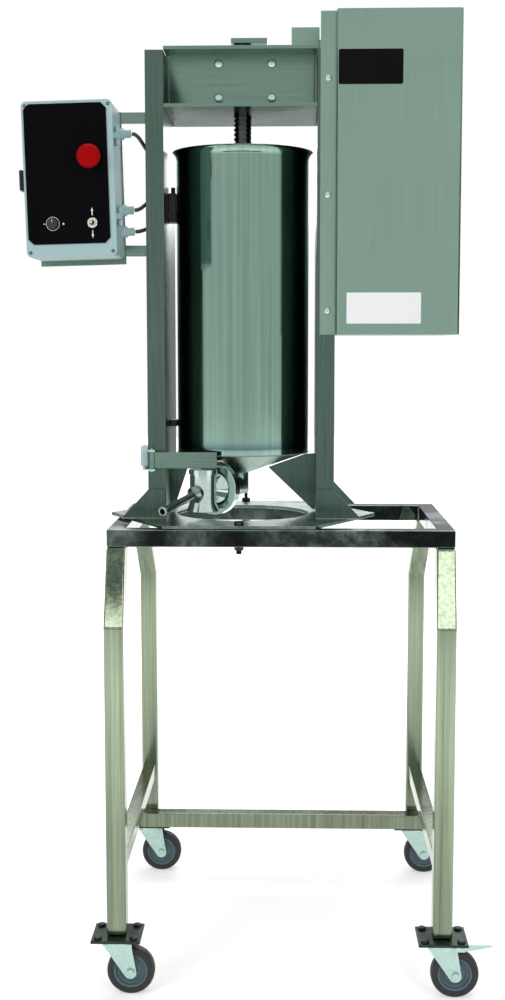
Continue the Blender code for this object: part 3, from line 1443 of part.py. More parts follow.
def build_safety_switch():
    """Switch on the side of the left post that tells whether the bar is shut."""
    right = MACHINE_X - POST_SPAN / 2 - FIT_GAP
    left = right - SWITCH_WIDTH
    front = POST_FRONT
    mesh_data = bmesh.new()
    upper = (right, front + SWITCH_DEPTH, SWITCH_BOTTOM + SWITCH_HEIGHT)
    add_box(mesh_data, (left, front, SWITCH_BOTTOM), upper)
    switch = finish("safety_switch", mesh_data, grey_plastic(), smooth=False)
    middle = ((left + right) / 2, front + SWITCH_DEPTH / 2)
    mesh_data = bmesh.new()
    add_rod(mesh_data, SWITCH_GLAND_RADIUS, (*middle, SWITCH_BOTTOM - SWITCH_GLAND_LENGTH),
            (*middle, SWITCH_BOTTOM + WELD), ROUND_SMALL)
    weld(switch, mesh_data, "gland")


def add_tray(mesh_data, outer, inner, rim, floor, closed, place):
    """A tray: walls between two outlines from rim to floor, shut at one end."""
    rings = []
    for outline, level in ((outer, closed), (outer, rim), (inner, rim), (inner, floor)):
        rings.append([mesh_data.verts.new(place(u, v, level)) for u, v in outline])
    for ring, after in zip(rings, rings[1:]):
        count = len(ring)
        for index in range(count):
            step = (index + 1) % count
            mesh_data.faces.new((ring[index], ring[step], after[step], after[index]))
    mesh_data.faces.new(rings[0])
    mesh_data.faces.new(rings[-1])


def box_outline(inset):
    """The control box's rounded outline in XZ, a given distance inside."""
    x = MACHINE_X + BOX_CENTRE_X
    low = (x - BOX_WIDTH / 2 + inset, BOX_CENTRE_Z - BOX_HEIGHT / 2 + inset)
    high = (x + BOX_WIDTH / 2 - inset, BOX_CENTRE_Z + BOX_HEIGHT / 2 - inset)
    return rounded_rectangle(low, high, BOX_CORNER - inset, BOX_CORNER_POINTS)


def box_point(x, y, z):
    """A point from the middle of the control box's back."""
    return (MACHINE_X + BOX_CENTRE_X + x, y, BOX_CENTRE_Z + z)


def hinge_tab(x, y, side):
    """Plan outline of a hinge leaf that wraps its pin, on one side of the joint."""
    wall = x - HINGE_RADIUS - FIT_GAP - WELD
    points = [(wall, y + side * HINGE_REACH), (x, y + side * HINGE_REACH)]
    for index in range(HINGE_ARC_POINTS):
        angle = math.radians(45.0) - math.radians(225.0) * index / (HINGE_ARC_POINTS - 1)
        points.append((x + HINGE_RADIUS * math.cos(angle), y + side * HINGE_RADIUS * math.sin(angle)))
    points += [(x - HINGE_RADIUS, y + side * WELD), (wall, y + side * WELD)]
    return points


def build_control_box():
    """Control box with its hinged lid, buttons, glands, back plate and arms."""
    mount = pivot("control_box_mount", box_point(0.0, BOX_BACK_Y, 0.0))
    seam = BOX_BACK_Y - BOX_DEPTH
    mesh_data = bmesh.new()
    inner = box_outline(BOX_WALL)
    add_tray(mesh_data, box_outline(0.0), inner, seam, BOX_BACK_Y - BOX_WALL, BOX_BACK_Y, facing)
    body = finish("box_body", mesh_data, grey_plastic(), mount)
    hinge_x = MACHINE_X + BOX_CENTRE_X + BOX_WIDTH / 2 + FIT_GAP + HINGE_RADIUS
    hinge_y = seam - FIT_GAP / 2
    lid_axis = pivot("lid_axis", (hinge_x, hinge_y, BOX_CENTRE_Z), mount)
    rim = seam - FIT_GAP
    front = rim - LID_DEPTH
    mesh_data = bmesh.new()
    add_tray(mesh_data, box_outline(0.0), box_outline(LID_WALL), rim, front + LID_WALL, front, facing)
    lid = finish("box_lid", mesh_data, grey_plastic(), lid_axis)
    add_box_hinges(body, lid, hinge_x, hinge_y)
    glands = bmesh.new()
    profile = [
        (0.0, -WELD), (GLAND_RADIUS, -WELD), (GLAND_RADIUS, GLAND_NUT_LENGTH),
        (GLAND_NOSE_RADIUS, GLAND_NUT_LENGTH + CUT_OVERRUN),
        (GLAND_NOSE_RADIUS, GLAND_LENGTH), (0.0, GLAND_LENGTH),
    ]
    for z in GLAND_ZS:
        seat = frame_at(box_point(BOX_WIDTH / 2, GLAND_Y, z), (1.0, 0.0, 0.0))
        add_lathe(glands, profile, ROUND_SMALL, seat)
    weld(body, glands, "glands")
    build_panel(front, lid_axis)
    build_latch(front, lid_axis)
    mount.rotation_euler = (0.0, BOX_LEAN, 0.0)
    build_cables()
    mesh_data = bmesh.new()
    left = -BOX_WIDTH / 2 + BACK_PLATE_INSET
    right = BOX_WIDTH / 2 + BACK_PLATE_INSET / 2
    low = -BOX_HEIGHT / 2 - BACK_PLATE_DROP
    high = BOX_HEIGHT / 2 - BACK_PLATE_INSET
    corners = [leaned(x, z) for x, z in ((left, low), (right, low), (right, high), (left, high))]
    outline = [(MACHINE_X + BOX_CENTRE_X + x, BOX_CENTRE_Z + z) for x, z in corners]
    near = BOX_BACK_Y + FIT_GAP
    add_prism(mesh_data, outline, near, near + BACK_PLATE_SHEET, facing)
    frame = finish("box_mount", mesh_data, brushed_steel(), smooth=False)
    near += BACK_PLATE_SHEET - WELD
    end = MACHINE_X - POST_INNER - POST_SHEET - FIT_GAP
    arms = bmesh.new()
    for z in (ARM_UPPER_Z, ARM_LOWER_Z):
        add_box(arms, (end - ARM_LENGTH, near, z), (end, near + ARM_SHEET, z + ARM_HEIGHT))
    weld(frame, arms, "arms")


def build_panel(front, lid_axis):
    """Black front panel with its stop button, toggle switch and knob."""
    x = MACHINE_X + BOX_CENTRE_X
    left = x - BOX_WIDTH / 2 + PANEL_LEFT
    right = x + BOX_WIDTH / 2 - PANEL_RIGHT
    top = BOX_CENTRE_Z + BOX_HEIGHT / 2 - PANEL_TOP
    low = BOX_CENTRE_Z - BOX_HEIGHT / 2 + PANEL_BOTTOM
    notch = PANEL_NOTCH
    outline = [
        (left + notch, low), (right - notch, low), (right, low + notch),
        (right, top - notch), (right - notch, top), (left + notch, top),
        (left, top - notch), (left, low + notch),
    ]
    near = front - FIT_GAP
    face = near - PANEL_SHEET
    mesh_data = bmesh.new()
    add_prism(mesh_data, outline, face, near, facing)
    panel = finish("front_panel", mesh_data, black_plastic(), lid_axis, smooth=False)
    seat = face
    outwards = (0.0, -1.0, 0.0)
    mesh_data = bmesh.new()
    bore = ESTOP_STEM + ESTOP_RUN
    base = [
        (bore, -WELD), (ESTOP_BASE_RADIUS, -WELD),
        (ESTOP_BASE_RADIUS, ESTOP_BASE_HEIGHT), (bore, ESTOP_BASE_HEIGHT),
    ]
    add_lathe(mesh_data, base, ROUND_MID, frame_at(box_point(ESTOP_X, seat, ESTOP_Z), outwards))
    bush = [
        (TOGGLE_BORE, -WELD), (TOGGLE_BUSH_RADIUS, -WELD),
        (TOGGLE_BUSH_RADIUS, TOGGLE_BUSH_HEIGHT), (TOGGLE_BORE, TOGGLE_BUSH_HEIGHT),
    ]
    add_lathe(mesh_data, bush, ROUND_SMALL, frame_at(box_point(TOGGLE_X, seat, TOGGLE_Z), outwards))
    weld(panel, mesh_data, "bushes")
    under = ESTOP_BASE_HEIGHT + ESTOP_TRAVEL + ESTOP_RUN
    stop_axis = pivot("estop_axis", box_point(ESTOP_X, seat, ESTOP_Z), lid_axis)
    cap = [
        (0.0, ESTOP_TRAVEL + ESTOP_RUN), (ESTOP_STEM, ESTOP_TRAVEL + ESTOP_RUN), (ESTOP_STEM, under),
        (ESTOP_RADIUS - PISTON_EDGE, under), (ESTOP_RADIUS, under + PISTON_EDGE),
        *[(ESTOP_RADIUS * across, under + ESTOP_CAP * up) for across, up in ESTOP_CAP_SHARES],
        (0.0, under + ESTOP_CAP),
    ]
    mesh_data = bmesh.new()
    add_lathe(mesh_data, cap, ROUND_MID, frame_at(box_point(ESTOP_X, seat, ESTOP_Z), outwards))
    finish("stop_button", mesh_data, red_plastic(), stop_axis)
    pivot_y = seat - TOGGLE_PIVOT
    toggle_axis = pivot("toggle_axis", box_point(TOGGLE_X, pivot_y, TOGGLE_Z), lid_axis)
    lever = []
    for index in range(TOGGLE_BALL_POINTS):
        angle = -math.pi / 2 + math.radians(120.0) * index / (TOGGLE_BALL_POINTS - 1)
        lever.append((max(0.0, TOGGLE_BALL * math.cos(angle)), TOGGLE_BALL * math.sin(angle)))
    lever[0] = (0.0, -TOGGLE_BALL)
    lever += [(TOGGLE_RADIUS, TOGGLE_BALL), (TOGGLE_TIP_RADIUS, TOGGLE_LENGTH - TOGGLE_BALL)]
    lever += [(TOGGLE_RADIUS, TOGGLE_LENGTH), (0.0, TOGGLE_LENGTH)]
    mesh_data = bmesh.new()
    add_lathe(mesh_data, lever, ROUND_SMALL, frame_at(box_point(TOGGLE_X, pivot_y, TOGGLE_Z), outwards))
    finish("toggle_lever", mesh_data, zinc_steel(), toggle_axis)
    knob_axis = pivot("knob_axis", box_point(KNOB_X, seat, KNOB_Z), lid_axis)
    knob = [
        (0.0, FIT_GAP), (KNOB_RADIUS, FIT_GAP), (KNOB_RADIUS - KNOB_CHAMFER, KNOB_HEIGHT - KNOB_CHAMFER),
        (KNOB_RADIUS - KNOB_CHAMFER * 2, KNOB_HEIGHT), (0.0, KNOB_HEIGHT),
    ]
    mesh_data = bmesh.new()
    add_lathe(mesh_data, knob, ROUND_SMALL, frame_at(box_point(KNOB_X, seat, KNOB_Z), outwards))
    finish("speed_knob", mesh_data, black_plastic(), knob_axis)


def add_box_hinges(body, lid, hinge_x, hinge_y):
    """Two hinges: a leaf of the lid between two leaves of the box, on one pin each."""
    fixed = bmesh.new()
    moving = bmesh.new()
    pins = bmesh.new()
    bore = circle(HINGE_PIN_RADIUS + HINGE_PIN_RUN, ROUND_SMALL, (hinge_x, hinge_y))
    half = HINGE_LENGTH / 2
    for rise in HINGE_ZS:
        z = BOX_CENTRE_Z + rise
        add_plate(moving, hinge_tab(hinge_x, hinge_y, -1), [bore], z - half, z + half, upright)
        for side in (-1, 1):
            near = z + side * (half + HINGE_PIN_RUN)
            add_prism(fixed, hinge_tab(hinge_x, hinge_y, 1), near, near + side * HINGE_LENGTH, upright)
        reach = half + HINGE_PIN_RUN + HINGE_LENGTH + WELD
        low = (hinge_x, hinge_y, z - reach)
        add_rod(pins, HINGE_PIN_RADIUS, low, (hinge_x, hinge_y, z + reach), ROUND_SMALL)
    weld(body, fixed, "hinges")
    weld(body, pins, "hinge_pins")
    weld(lid, moving, "hinges")


def build_latch(front, lid_axis):
    """Black latch on the lid's free side, round at its pivot end."""
    x = MACHINE_X + BOX_CENTRE_X - BOX_WIDTH / 2 - FIT_GAP - LATCH_WIDTH / 2
    y = front + LATCH_WIDTH / 2
    axis = pivot("latch_axis", (x, y, BOX_CENTRE_Z), lid_axis)
    radius = LATCH_WIDTH / 2
    outline = [(x + radius, y + LATCH_DEPTH), (x - radius, y + LATCH_DEPTH)]
    for index in range(LATCH_ARC_POINTS):
        angle = math.pi + math.pi * index / (LATCH_ARC_POINTS - 1)
        outline.append((x + radius * math.cos(angle), y + radius * math.sin(angle)))
    half = LATCH_HEIGHT / 2
    mesh_data = bmesh.new()
    add_prism(mesh_data, outline, BOX_CENTRE_Z - half, BOX_CENTRE_Z + half, upright)
    finish("lid_latch", mesh_data, black_plastic(), axis)


def leaned(x, z):
    """Where a point of the box, given from its middle, lies once the box leans."""
    turn_cos = math.cos(BOX_LEAN)
    turn_sin = math.sin(BOX_LEAN)
    return x * turn_cos + z * turn_sin, z * turn_cos - x * turn_sin


def build_cables():
    """Three leads along smooth curves from the glands to the left post's web."""
    wall = MACHINE_X - POST_INNER - POST_SHEET - FIT_GAP
    outwards = Vector((math.cos(BOX_LEAN), 0.0, -math.sin(BOX_LEAN)))
    for number, (z, fall) in enumerate(zip(GLAND_ZS, CABLE_DROPS), 1):
        x, height = leaned(BOX_WIDTH / 2 + GLAND_LENGTH + WELD * 2, z)
        start = Vector(box_point(x, GLAND_Y, height))
        end = Vector((wall - WELD, CABLE_END_Y, start.z + fall))
        first = start + outwards * CABLE_HANDLE
        last = end - Vector((CABLE_LAST_HANDLE, 0.0, 0.0))
        data = bpy.data.curves.new("box_cable_%d" % number, "CURVE")
        data.dimensions = "3D"
        line = data.splines.new("POLY")
        line.points.add(CABLE_POINTS - 1)
        for index in range(CABLE_POINTS):
            t = index / (CABLE_POINTS - 1)
            s = 1 - t
            place = start * s ** 3 + first * 3 * s * s * t + last * 3 * s * t * t + end * t ** 3
            line.points[index].co = (*place, 1.0)
        data.bevel_depth = CABLE_RADIUS
        data.bevel_resolution = 2
        data.use_fill_caps = True
        data.materials.append(rubber())
        made = bpy.data.objects.new("box_cable_%d" % number, data)
        bpy.context.scene.collection.objects.link(made)


def centre_on_floor():
    """Move the whole model so that its origin is under the middle of its footprint."""
    bpy.context.view_layer.update()
    depsgraph = bpy.context.evaluated_depsgraph_get()
    low = Vector((math.inf, math.inf, math.inf))
    high = -low
    for item in bpy.data.objects:
        if item.type == "EMPTY" or item.hide_render:
            continue
        shape = item.evaluated_get(depsgraph)
        mesh = shape.to_mesh()
        for vert in mesh.vertices:
            place = shape.matrix_world @ vert.co
            for axis in range(3):
                low[axis] = min(low[axis], place[axis])
                high[axis] = max(high[axis], place[axis])
        shape.to_mesh_clear()
    shift = Vector((-(low.x + high.x) / 2, -(low.y + high.y) / 2, -low.z))
    for item in bpy.data.objects:
        if item.parent is None:
            item.location += shift
    bpy.context.view_layer.update()
    print("moved by", tuple(round(value, 5) for value in shift))
    print("size", tuple(round(value, 5) for value in high - low))


def build_all():
    """Build the machine from the floor up."""
    clear_scene()
    build_table()
    for name_y, side_y in (("front", -1), ("rear", 1)):
        for name_x, side_x in (("left", -1), ("right", 1)):
            build_leg("leg_%s_%s" % (name_y, name_x), side_x, side_y)
            build_caster_plate("caster_plate_%s_%s" % (name_y, name_x), side_x, side_y)
            swivel = build_caster("%s_%s" % (name_y, name_x), side_x, side_y)
            if side_y < 0 < side_x:
                build_brake_pedal(swivel)
    build_lower_rails()
    build_base_plate()
    build_hold_down_bolts()
    build_post("post_left", -1)
    right_post = build_post("post_right", 1)
    cut_belt_window(right_post)
    crosshead = build_crosshead()
    housing = build_bearing_housing()
    cut_crosshead_holes(crosshead, housing)
    nut_axis = pivot("nut_axis", machine(0.0, 0.0, CROSS_INNER_BOTTOM))
    motor_axis = pivot("motor_axis", machine(DRIVE_CENTRES, 0.0, CROSS_INNER_BOTTOM))
    build_drive_nut(nut_axis)
    build_pulleys(nut_axis, motor_axis)
    build_belt()
    build_motor()
    build_drive_cover()
    build_end_switch()
    build_cylinder()
    build_funnel()
    build_outlet()
    build_piston(pivot("piston_axis", machine(0.0, 0.0, PISTON_REST)))
    build_cylinder_brackets()
    build_retaining_bar()
    build_safety_switch()
    build_control_box()
    centre_on_floor()


build_all()
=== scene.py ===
# An electric sausage stuffer on its wheeled stand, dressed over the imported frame.
# Sizes are metres, +Z is up and the operator stands at -Y.
import json
import math

import bmesh
import bpy
from mathutils import Matrix, Vector


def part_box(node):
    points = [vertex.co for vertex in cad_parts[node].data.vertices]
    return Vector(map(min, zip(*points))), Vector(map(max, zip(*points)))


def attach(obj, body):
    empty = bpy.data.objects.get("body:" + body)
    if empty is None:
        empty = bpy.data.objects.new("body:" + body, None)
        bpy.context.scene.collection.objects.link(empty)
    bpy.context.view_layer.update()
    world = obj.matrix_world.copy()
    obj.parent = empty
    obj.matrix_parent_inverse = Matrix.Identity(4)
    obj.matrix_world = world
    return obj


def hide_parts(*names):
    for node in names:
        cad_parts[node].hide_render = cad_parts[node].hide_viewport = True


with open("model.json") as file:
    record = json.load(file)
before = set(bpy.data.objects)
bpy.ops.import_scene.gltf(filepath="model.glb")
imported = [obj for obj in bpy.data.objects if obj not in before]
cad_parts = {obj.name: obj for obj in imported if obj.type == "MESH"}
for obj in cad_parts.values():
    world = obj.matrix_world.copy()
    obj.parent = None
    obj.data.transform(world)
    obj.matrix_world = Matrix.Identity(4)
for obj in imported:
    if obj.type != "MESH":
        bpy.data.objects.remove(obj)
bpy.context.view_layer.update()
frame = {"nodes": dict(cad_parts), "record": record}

scene = bpy.context.scene
scene.view_settings.view_transform = "Standard"


# Camera and studio
# The camera stands in front of the machine, a little above the cylinder's foot. Four
# soft boxes light a white floor, and dark cards show in the metal's reflections only.
def add(tree, kind, inputs=None, **settings):
    """Add a node to a tree. Each input takes a value, or the socket that feeds it."""
    made = tree.nodes.new(kind)
    for label, value in settings.items():
        setattr(made, label, value)
    for key, value in (inputs or {}).items():
        if isinstance(value, bpy.types.NodeSocket):
            tree.links.new(value, made.inputs[key])
        else:
            made.inputs[key].default_value = value
    return made


def maths(tree, operation, *values, clamp=False):
    """The result of one calculation in a node tree, as a socket."""
    values = dict(enumerate(values))
    return add(tree, "ShaderNodeMath", values, operation=operation, use_clamp=clamp).outputs[0]


def plain_paint(name, shade):
    """A matt grey with no texture."""
    made = bpy.data.materials.new(name)
    made.use_nodes = True
    colour = made.node_tree.nodes["Principled BSDF"].inputs["Base Color"]
    colour.default_value = (shade, shade, shade, 1.0)
    return made


def studio_sheet(name, corners, paint, reflected_only=False):
    """A flat sheet of the studio, which isn't part of the machine."""
    data = bpy.data.meshes.new(name)
    data.from_pydata(corners, [], [(0, 1, 2, 3)])
    data.materials.append(paint)
    made = bpy.data.objects.new(name, data)
    scene.collection.objects.link(made)
    if reflected_only:
        made.visible_camera = False
        made.visible_shadow = False
        made.visible_diffuse = False


camera_place = (0.0648, -2.5350, 1.0810)
camera_down, camera_roll, camera_left = (math.radians(turn) for turn in (6.31, 0.04, 1.62))
lens = bpy.data.cameras.new("studio_camera")
lens.sensor_width = 36.0
lens.lens = 50.66
lens.clip_end = 60.0
camera = bpy.data.objects.new("studio_camera", lens)
camera.location = camera_place
camera.rotation_euler = (math.radians(90.0) - camera_down, camera_roll, camera_left)
scene.collection.objects.link(camera)
scene.camera = camera

white = (1.0, 1.0, 1.0, 1.0)
surround = bpy.data.worlds.new("white_surround")
surround.use_nodes = True
tree = surround.node_tree
tree.nodes.clear()
ray = add(tree, "ShaderNodeLightPath").outputs
seen = maths(tree, "MAXIMUM", ray["Is Camera Ray"], ray["Is Glossy Ray"])
seen = maths(tree, "MAXIMUM", seen, ray["Is Transmission Ray"])
power = add(tree, "ShaderNodeMapRange", {"Value": seen, "To Min": 0.42, "To Max": 1.0})
sky = add(tree, "ShaderNodeBackground", {"Color": white, "Strength": power.outputs["Result"]})
add(tree, "ShaderNodeOutputWorld", {"Surface": sky.outputs[0]})
scene.world = surround

# The floor glows for the camera, and less near the machine so that its shadow shows.
paper = plain_paint("studio_paper", 0.93)
tree = paper.node_tree
shader = tree.nodes["Principled BSDF"].inputs
shader["Roughness"].default_value = 0.9
shader["Specular IOR Level"].default_value = 0.1
shader["Emission Color"].default_value = white
ray = add(tree, "ShaderNodeLightPath").outputs
seen = maths(tree, "MAXIMUM", ray["Is Camera Ray"], ray["Is Glossy Ray"])
place = add(tree, "ShaderNodeTexCoord").outputs["Object"]
away = add(tree, "ShaderNodeVectorMath", {0: place}, operation="LENGTH").outputs["Value"]
fade = {"Value": away, "From Min": 0.6, "From Max": 2.4, "To Min": 0.36, "To Max": 1.0}
fade = add(tree, "ShaderNodeMapRange", fade, interpolation_type="SMOOTHSTEP")
glow = maths(tree, "MULTIPLY", seen, fade.outputs["Result"])
tree.links.new(glow, shader["Emission Strength"])
reach = 14.0
floor_corners = [(-reach, -reach), (reach, -reach), (reach, reach), (-reach, reach)]
studio_sheet("studio_floor", [(x, y, 0.0) for x, y in floor_corners], paper)

for name, place, aim, wide, high, power, glossy in (
    ("box_front_left", (-2.6, -3.2, 2.6), (0.0, 0.0, 0.95), 1.6, 2.6, 70.0, False),
    ("box_front_right", (2.4, -3.4, 2.2), (0.0, 0.0, 0.95), 1.2, 2.4, 48.0, False),
    ("box_top", (0.2, 0.6, 3.9), (0.0, 0.0, 1.0), 2.2, 2.2, 46.0, True),
    ("box_back", (0.4, 3.2, 2.4), (0.0, 0.0, 1.0), 2.4, 1.8, 34.0, True),
):
    lamp = bpy.data.lights.new(name, "AREA")
    lamp.shape = "RECTANGLE"
    lamp.size = wide
    lamp.size_y = high
    lamp.energy = power
    made = bpy.data.objects.new(name, lamp)
    made.location = place
    made.rotation_euler = (Vector(aim) - Vector(place)).to_track_quat("-Z", "Y").to_euler()
    made.visible_glossy = glossy
    scene.collection.objects.link(made)

for name, start, end, low, high, shade in (
    ("card_left", (-1.9, -0.6), (-1.9, 3.2), 0.50, 1.72, 0.04),
    ("card_right", (1.9, -0.6), (1.9, 3.2), 0.50, 1.72, 0.04),
    ("card_back", (-1.9, 3.2), (1.9, 3.2), 0.45, 1.45, 0.38),
    ("card_front", (-2.4, -3.6), (2.4, -3.6), 0.02, 0.50, 0.02),
):
    card_corners = [(*start, low), (*end, low), (*end, high), (*start, high)]
    studio_sheet(name, card_corners, plain_paint(name, shade), reflected_only=True)


# Table frame
# A rectangle of 30 mm square tube, mitred at its corners and polished to a bright
# finish. The seams are ground flush, so only the tube's small edge radius shows.
bodies = frame["record"]["behaviour"]["bodies"]
body_of = {node: body for body, members in bodies.items() for node in members}
crease = math.radians(35.0)
bevel_steps = 2
weld_distance = 0.00002
flat_angle = math.radians(1.0)
line_depth = 0.0002


def declare(tree, way, kind, *labels):
    """Give a node group inputs or outputs of one kind."""
    for label in labels:
        tree.interface.new_socket(label, in_out=way, socket_type="NodeSocket" + kind)


def steel_grain_group():
    """Fine drawn lines in the metal, with broad smears left by cleaning."""
    tree = bpy.data.node_groups.new("steel_grain", "ShaderNodeTree")
    declare(tree, "INPUT", "Float", "Across", "Up", "Depth", "Roughness", "Smear")
    declare(tree, "OUTPUT", "Float", "Shade", "Roughness")
    declare(tree, "OUTPUT", "Vector", "Normal")
    given = add(tree, "NodeGroupInput").outputs
    place = add(tree, "ShaderNodeTexCoord").outputs["Object"]
    scale = {0: given["Across"], 1: given["Across"], 2: given["Up"]}
    scale = add(tree, "ShaderNodeCombineXYZ", scale).outputs[0]
    drawn = add(tree, "ShaderNodeVectorMath", {0: place, 1: scale}, operation="MULTIPLY")
    fine = {"Vector": drawn.outputs[0], "Scale": 1.0, "Detail": 3.0, "Roughness": 0.65}
    lines = add(tree, "ShaderNodeTexNoise", fine).outputs["Fac"]
    broad = {"Vector": place, "Scale": 7.0, "Detail": 4.0, "Distortion": 0.6}
    smear = add(tree, "ShaderNodeTexNoise", broad).outputs["Fac"]
    patch = maths(tree, "MULTIPLY", maths(tree, "SUBTRACT", smear, 0.5), given["Smear"])
    rough = maths(tree, "MULTIPLY_ADD", lines, 0.12, given["Roughness"])
    bump = {"Strength": given["Depth"], "Distance": line_depth, "Height": lines}
    bump = add(tree, "ShaderNodeBump", bump)
    add(tree, "NodeGroupOutput", {
        "Shade": maths(tree, "ADD", lines, patch, clamp=True),
        "Roughness": maths(tree, "ADD", rough, patch, clamp=True),
        "Normal": bump.outputs["Normal"],
    })
    return tree


def two_toned(name, dark, light, group, values):
    """A material that moves between two tones by the shade that its node group makes."""
    made = bpy.data.materials.new(name)
    made.use_nodes = True
    tree = made.node_tree
    skin = add(tree, "ShaderNodeGroup", values, node_tree=group).outputs
    tones = {0: skin["Shade"], 6: (*dark, 1.0), 7: (*light, 1.0)}
    tone = add(tree, "ShaderNodeMix", tones, data_type="RGBA")
    shader = tree.nodes["Principled BSDF"].inputs
    tree.links.new(tone.outputs[2], shader["Base Color"])
    tree.links.new(skin["Roughness"], shader["Roughness"])
    tree.links.new(skin["Normal"], shader["Normal"])
    return made


def steel(name, dark, light, rough, across, up, depth, smear):
    """A metal with drawn grain: its lines per metre across and up, their depth and smears."""
    values = {"Across": across, "Up": up, "Depth": depth, "Roughness": rough, "Smear": smear}
    made = two_toned(name, dark, light, steel_grain, values)
    made.node_tree.nodes["Principled BSDF"].inputs["Metallic"].default_value = 1.0
    return made


def hang(name, data, body, edge=0.0, stands_for=()):
    """Put a mesh in the scene as a piece of the machine, with its edges rounded."""
    data.shade_smooth()
    data.set_sharp_from_angle(angle=crease)
    made = bpy.data.objects.new(name, data)
    scene.collection.objects.link(made)
    if edge:
        bevel = made.modifiers.new("edge_radius", "BEVEL")
        bevel.width = edge
        bevel.segments = bevel_steps
        bevel.limit_method = "ANGLE"
        bevel.angle_limit = crease
        bevel.harden_normals = True
    if stands_for:
        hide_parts(*stands_for)
    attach(made, body)


def settle(name, mesh, surface, body, edge=0.0, stands_for=()):
    """Turn a built mesh into a piece."""
    data = bpy.data.meshes.new(name)
    mesh.to_mesh(data)
    mesh.free()
    data.materials.append(surface)
    hang(name, data, body, edge, stands_for)


def softened(node, surface, edge):
    """The CAD node's own shape as one closed skin with rounded edges, in its place."""
    mesh = bmesh.new()
    mesh.from_mesh(frame["nodes"][node].data)
    bmesh.ops.remove_doubles(mesh, verts=mesh.verts, dist=weld_distance)
    bmesh.ops.dissolve_limit(mesh, angle_limit=flat_angle, verts=mesh.verts, edges=mesh.edges)
    settle(node + "_skin", mesh, surface, body_of[node], edge, (node,))


steel_grain = steel_grain_group()
bright_tube = steel(
    "bright_tube", (0.020, 0.042, 0.048), (0.300, 0.380, 0.345),
    rough=0.05, across=60.0, up=60.0, depth=0.01, smear=0.55,
)
softened("table_frame", bright_tube, edge=0.0025)


# Legs and lower rails
# Four 32 mm tubes, each cut and welded once where it turns upright, and three rails
# that keep them apart. They are brushed along their length.
leg_tube = steel(
    "leg_tube", (0.045, 0.060, 0.040), (0.380, 0.450, 0.320),
    rough=0.10, across=150.0, up=2.5, depth=0.02, smear=0.20,
)
corners = ("front_left", "front_right", "rear_left", "rear_right")
for corner in corners:
    softened("leg_" + corner, leg_tube, edge=0.0028)
for rail in ("side_rail_left", "side_rail_right", "rear_rail"):
    softened(rail, leg_tube, edge=0.0020)


# Caster plates
# Black plates of 5 mm steel are welded under the legs, and each takes a bolted
# swivel caster. The bolt heads are pressed domes, painted with the plate.
def box_of(node):
    """A CAD node's low corner, high corner and middle."""
    low, high = (Vector(corner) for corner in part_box(node))
    return low, high, (low + high) / 2.0


def real_with_finish(tree, given, made, keep):
    """End a geometry tree: make its copies real, give them their finish and put them out."""
    real = add(tree, "GeometryNodeRealizeInstances", {0: made})
    paint = {"Geometry": real.outputs[0], "Material": given["Finish"]}
    add(tree, "NodeGroupOutput", {keep: add(tree, "GeometryNodeSetMaterial", paint).outputs[0]})


def bolt_head_tree():
    """Domed heads at the points of the mesh that it is given."""
    tree = bpy.data.node_groups.new("bolt_heads", "GeometryNodeTree")
    declare(tree, "INPUT", "Geometry", "Points")
    declare(tree, "INPUT", "Float", "Head Radius", "Head Height", "Dome Height")
    declare(tree, "INPUT", "Vector", "Facing")
    declare(tree, "INPUT", "Material", "Finish")
    declare(tree, "OUTPUT", "Geometry", "Heads")
    given = add(tree, "NodeGroupInput").outputs
    shank_size = {"Vertices": 32, "Radius": given["Head Radius"], "Depth": given["Head Height"]}
    shank = add(tree, "GeometryNodeMeshCylinder", shank_size).outputs["Mesh"]
    half = maths(tree, "MULTIPLY", given["Head Height"], 0.5)
    stand_shank = add(tree, "GeometryNodeTransform", {
        "Geometry": shank,
        "Translation": add(tree, "ShaderNodeCombineXYZ", {2: half}).outputs[0],
    })
    cap = add(tree, "GeometryNodeMeshUVSphere", {"Segments": 32, "Rings": 12, "Radius": 1.0})
    spread = {0: given["Head Radius"], 1: given["Head Radius"], 2: given["Dome Height"]}
    stand_cap = add(tree, "GeometryNodeTransform", {
        "Geometry": cap.outputs["Mesh"],
        "Scale": add(tree, "ShaderNodeCombineXYZ", spread).outputs[0],
        "Translation": add(tree, "ShaderNodeCombineXYZ", {2: given["Head Height"]}).outputs[0],
    })
    head = add(tree, "GeometryNodeJoinGeometry", {0: stand_shank.outputs[0]})
    tree.links.new(stand_cap.outputs[0], head.inputs[0])
    turn = add(tree, "FunctionNodeAlignRotationToVector", {"Vector": given["Facing"]}, axis="Z")
    spots = {"Points": given["Points"], "Instance": head.outputs[0], "Rotation": turn.outputs[0]}
    heads = add(tree, "GeometryNodeInstanceOnPoints", spots)
    real_with_finish(tree, given, heads.outputs[0], "Heads")
    return tree


def grown(name, tree, points, edges, inputs, surface, body, stands_for=()):
    """Run a node tree once on the points and keep what it makes as a plain mesh."""
    seed = bpy.data.meshes.new(name + "_seed")
    seed.from_pydata(points, edges, [])
    holder = bpy.data.objects.new(name + "_seed", seed)
    scene.collection.objects.link(holder)
    step = holder.modifiers.new("grow", "NODES")
    step.node_group = tree
    items = tree.interface.items_tree
    keys = {item.name: item.identifier for item in items if item.in_out == "INPUT"}
    for label, value in inputs.items():
        step[keys[label]] = value
    step[keys["Finish"]] = surface
    bpy.context.view_layer.update()
    evaluated = holder.evaluated_get(bpy.context.evaluated_depsgraph_get())
    data = bpy.data.meshes.new_from_object(evaluated)
    holder.modifiers.remove(step)
    bpy.data.objects.remove(holder)
    data.name = name
    hang(name, data, body, 0.0, stands_for)


def bolts(name, places, facing, surface, radius, height, dome):
    """Bolt heads on the stand, looking the given way."""
    sizes = {"Head Radius": radius, "Head Height": height, "Dome Height": dome, "Facing": facing}
    grown(name, bolt_heads, places, [], sizes, surface, "stand")


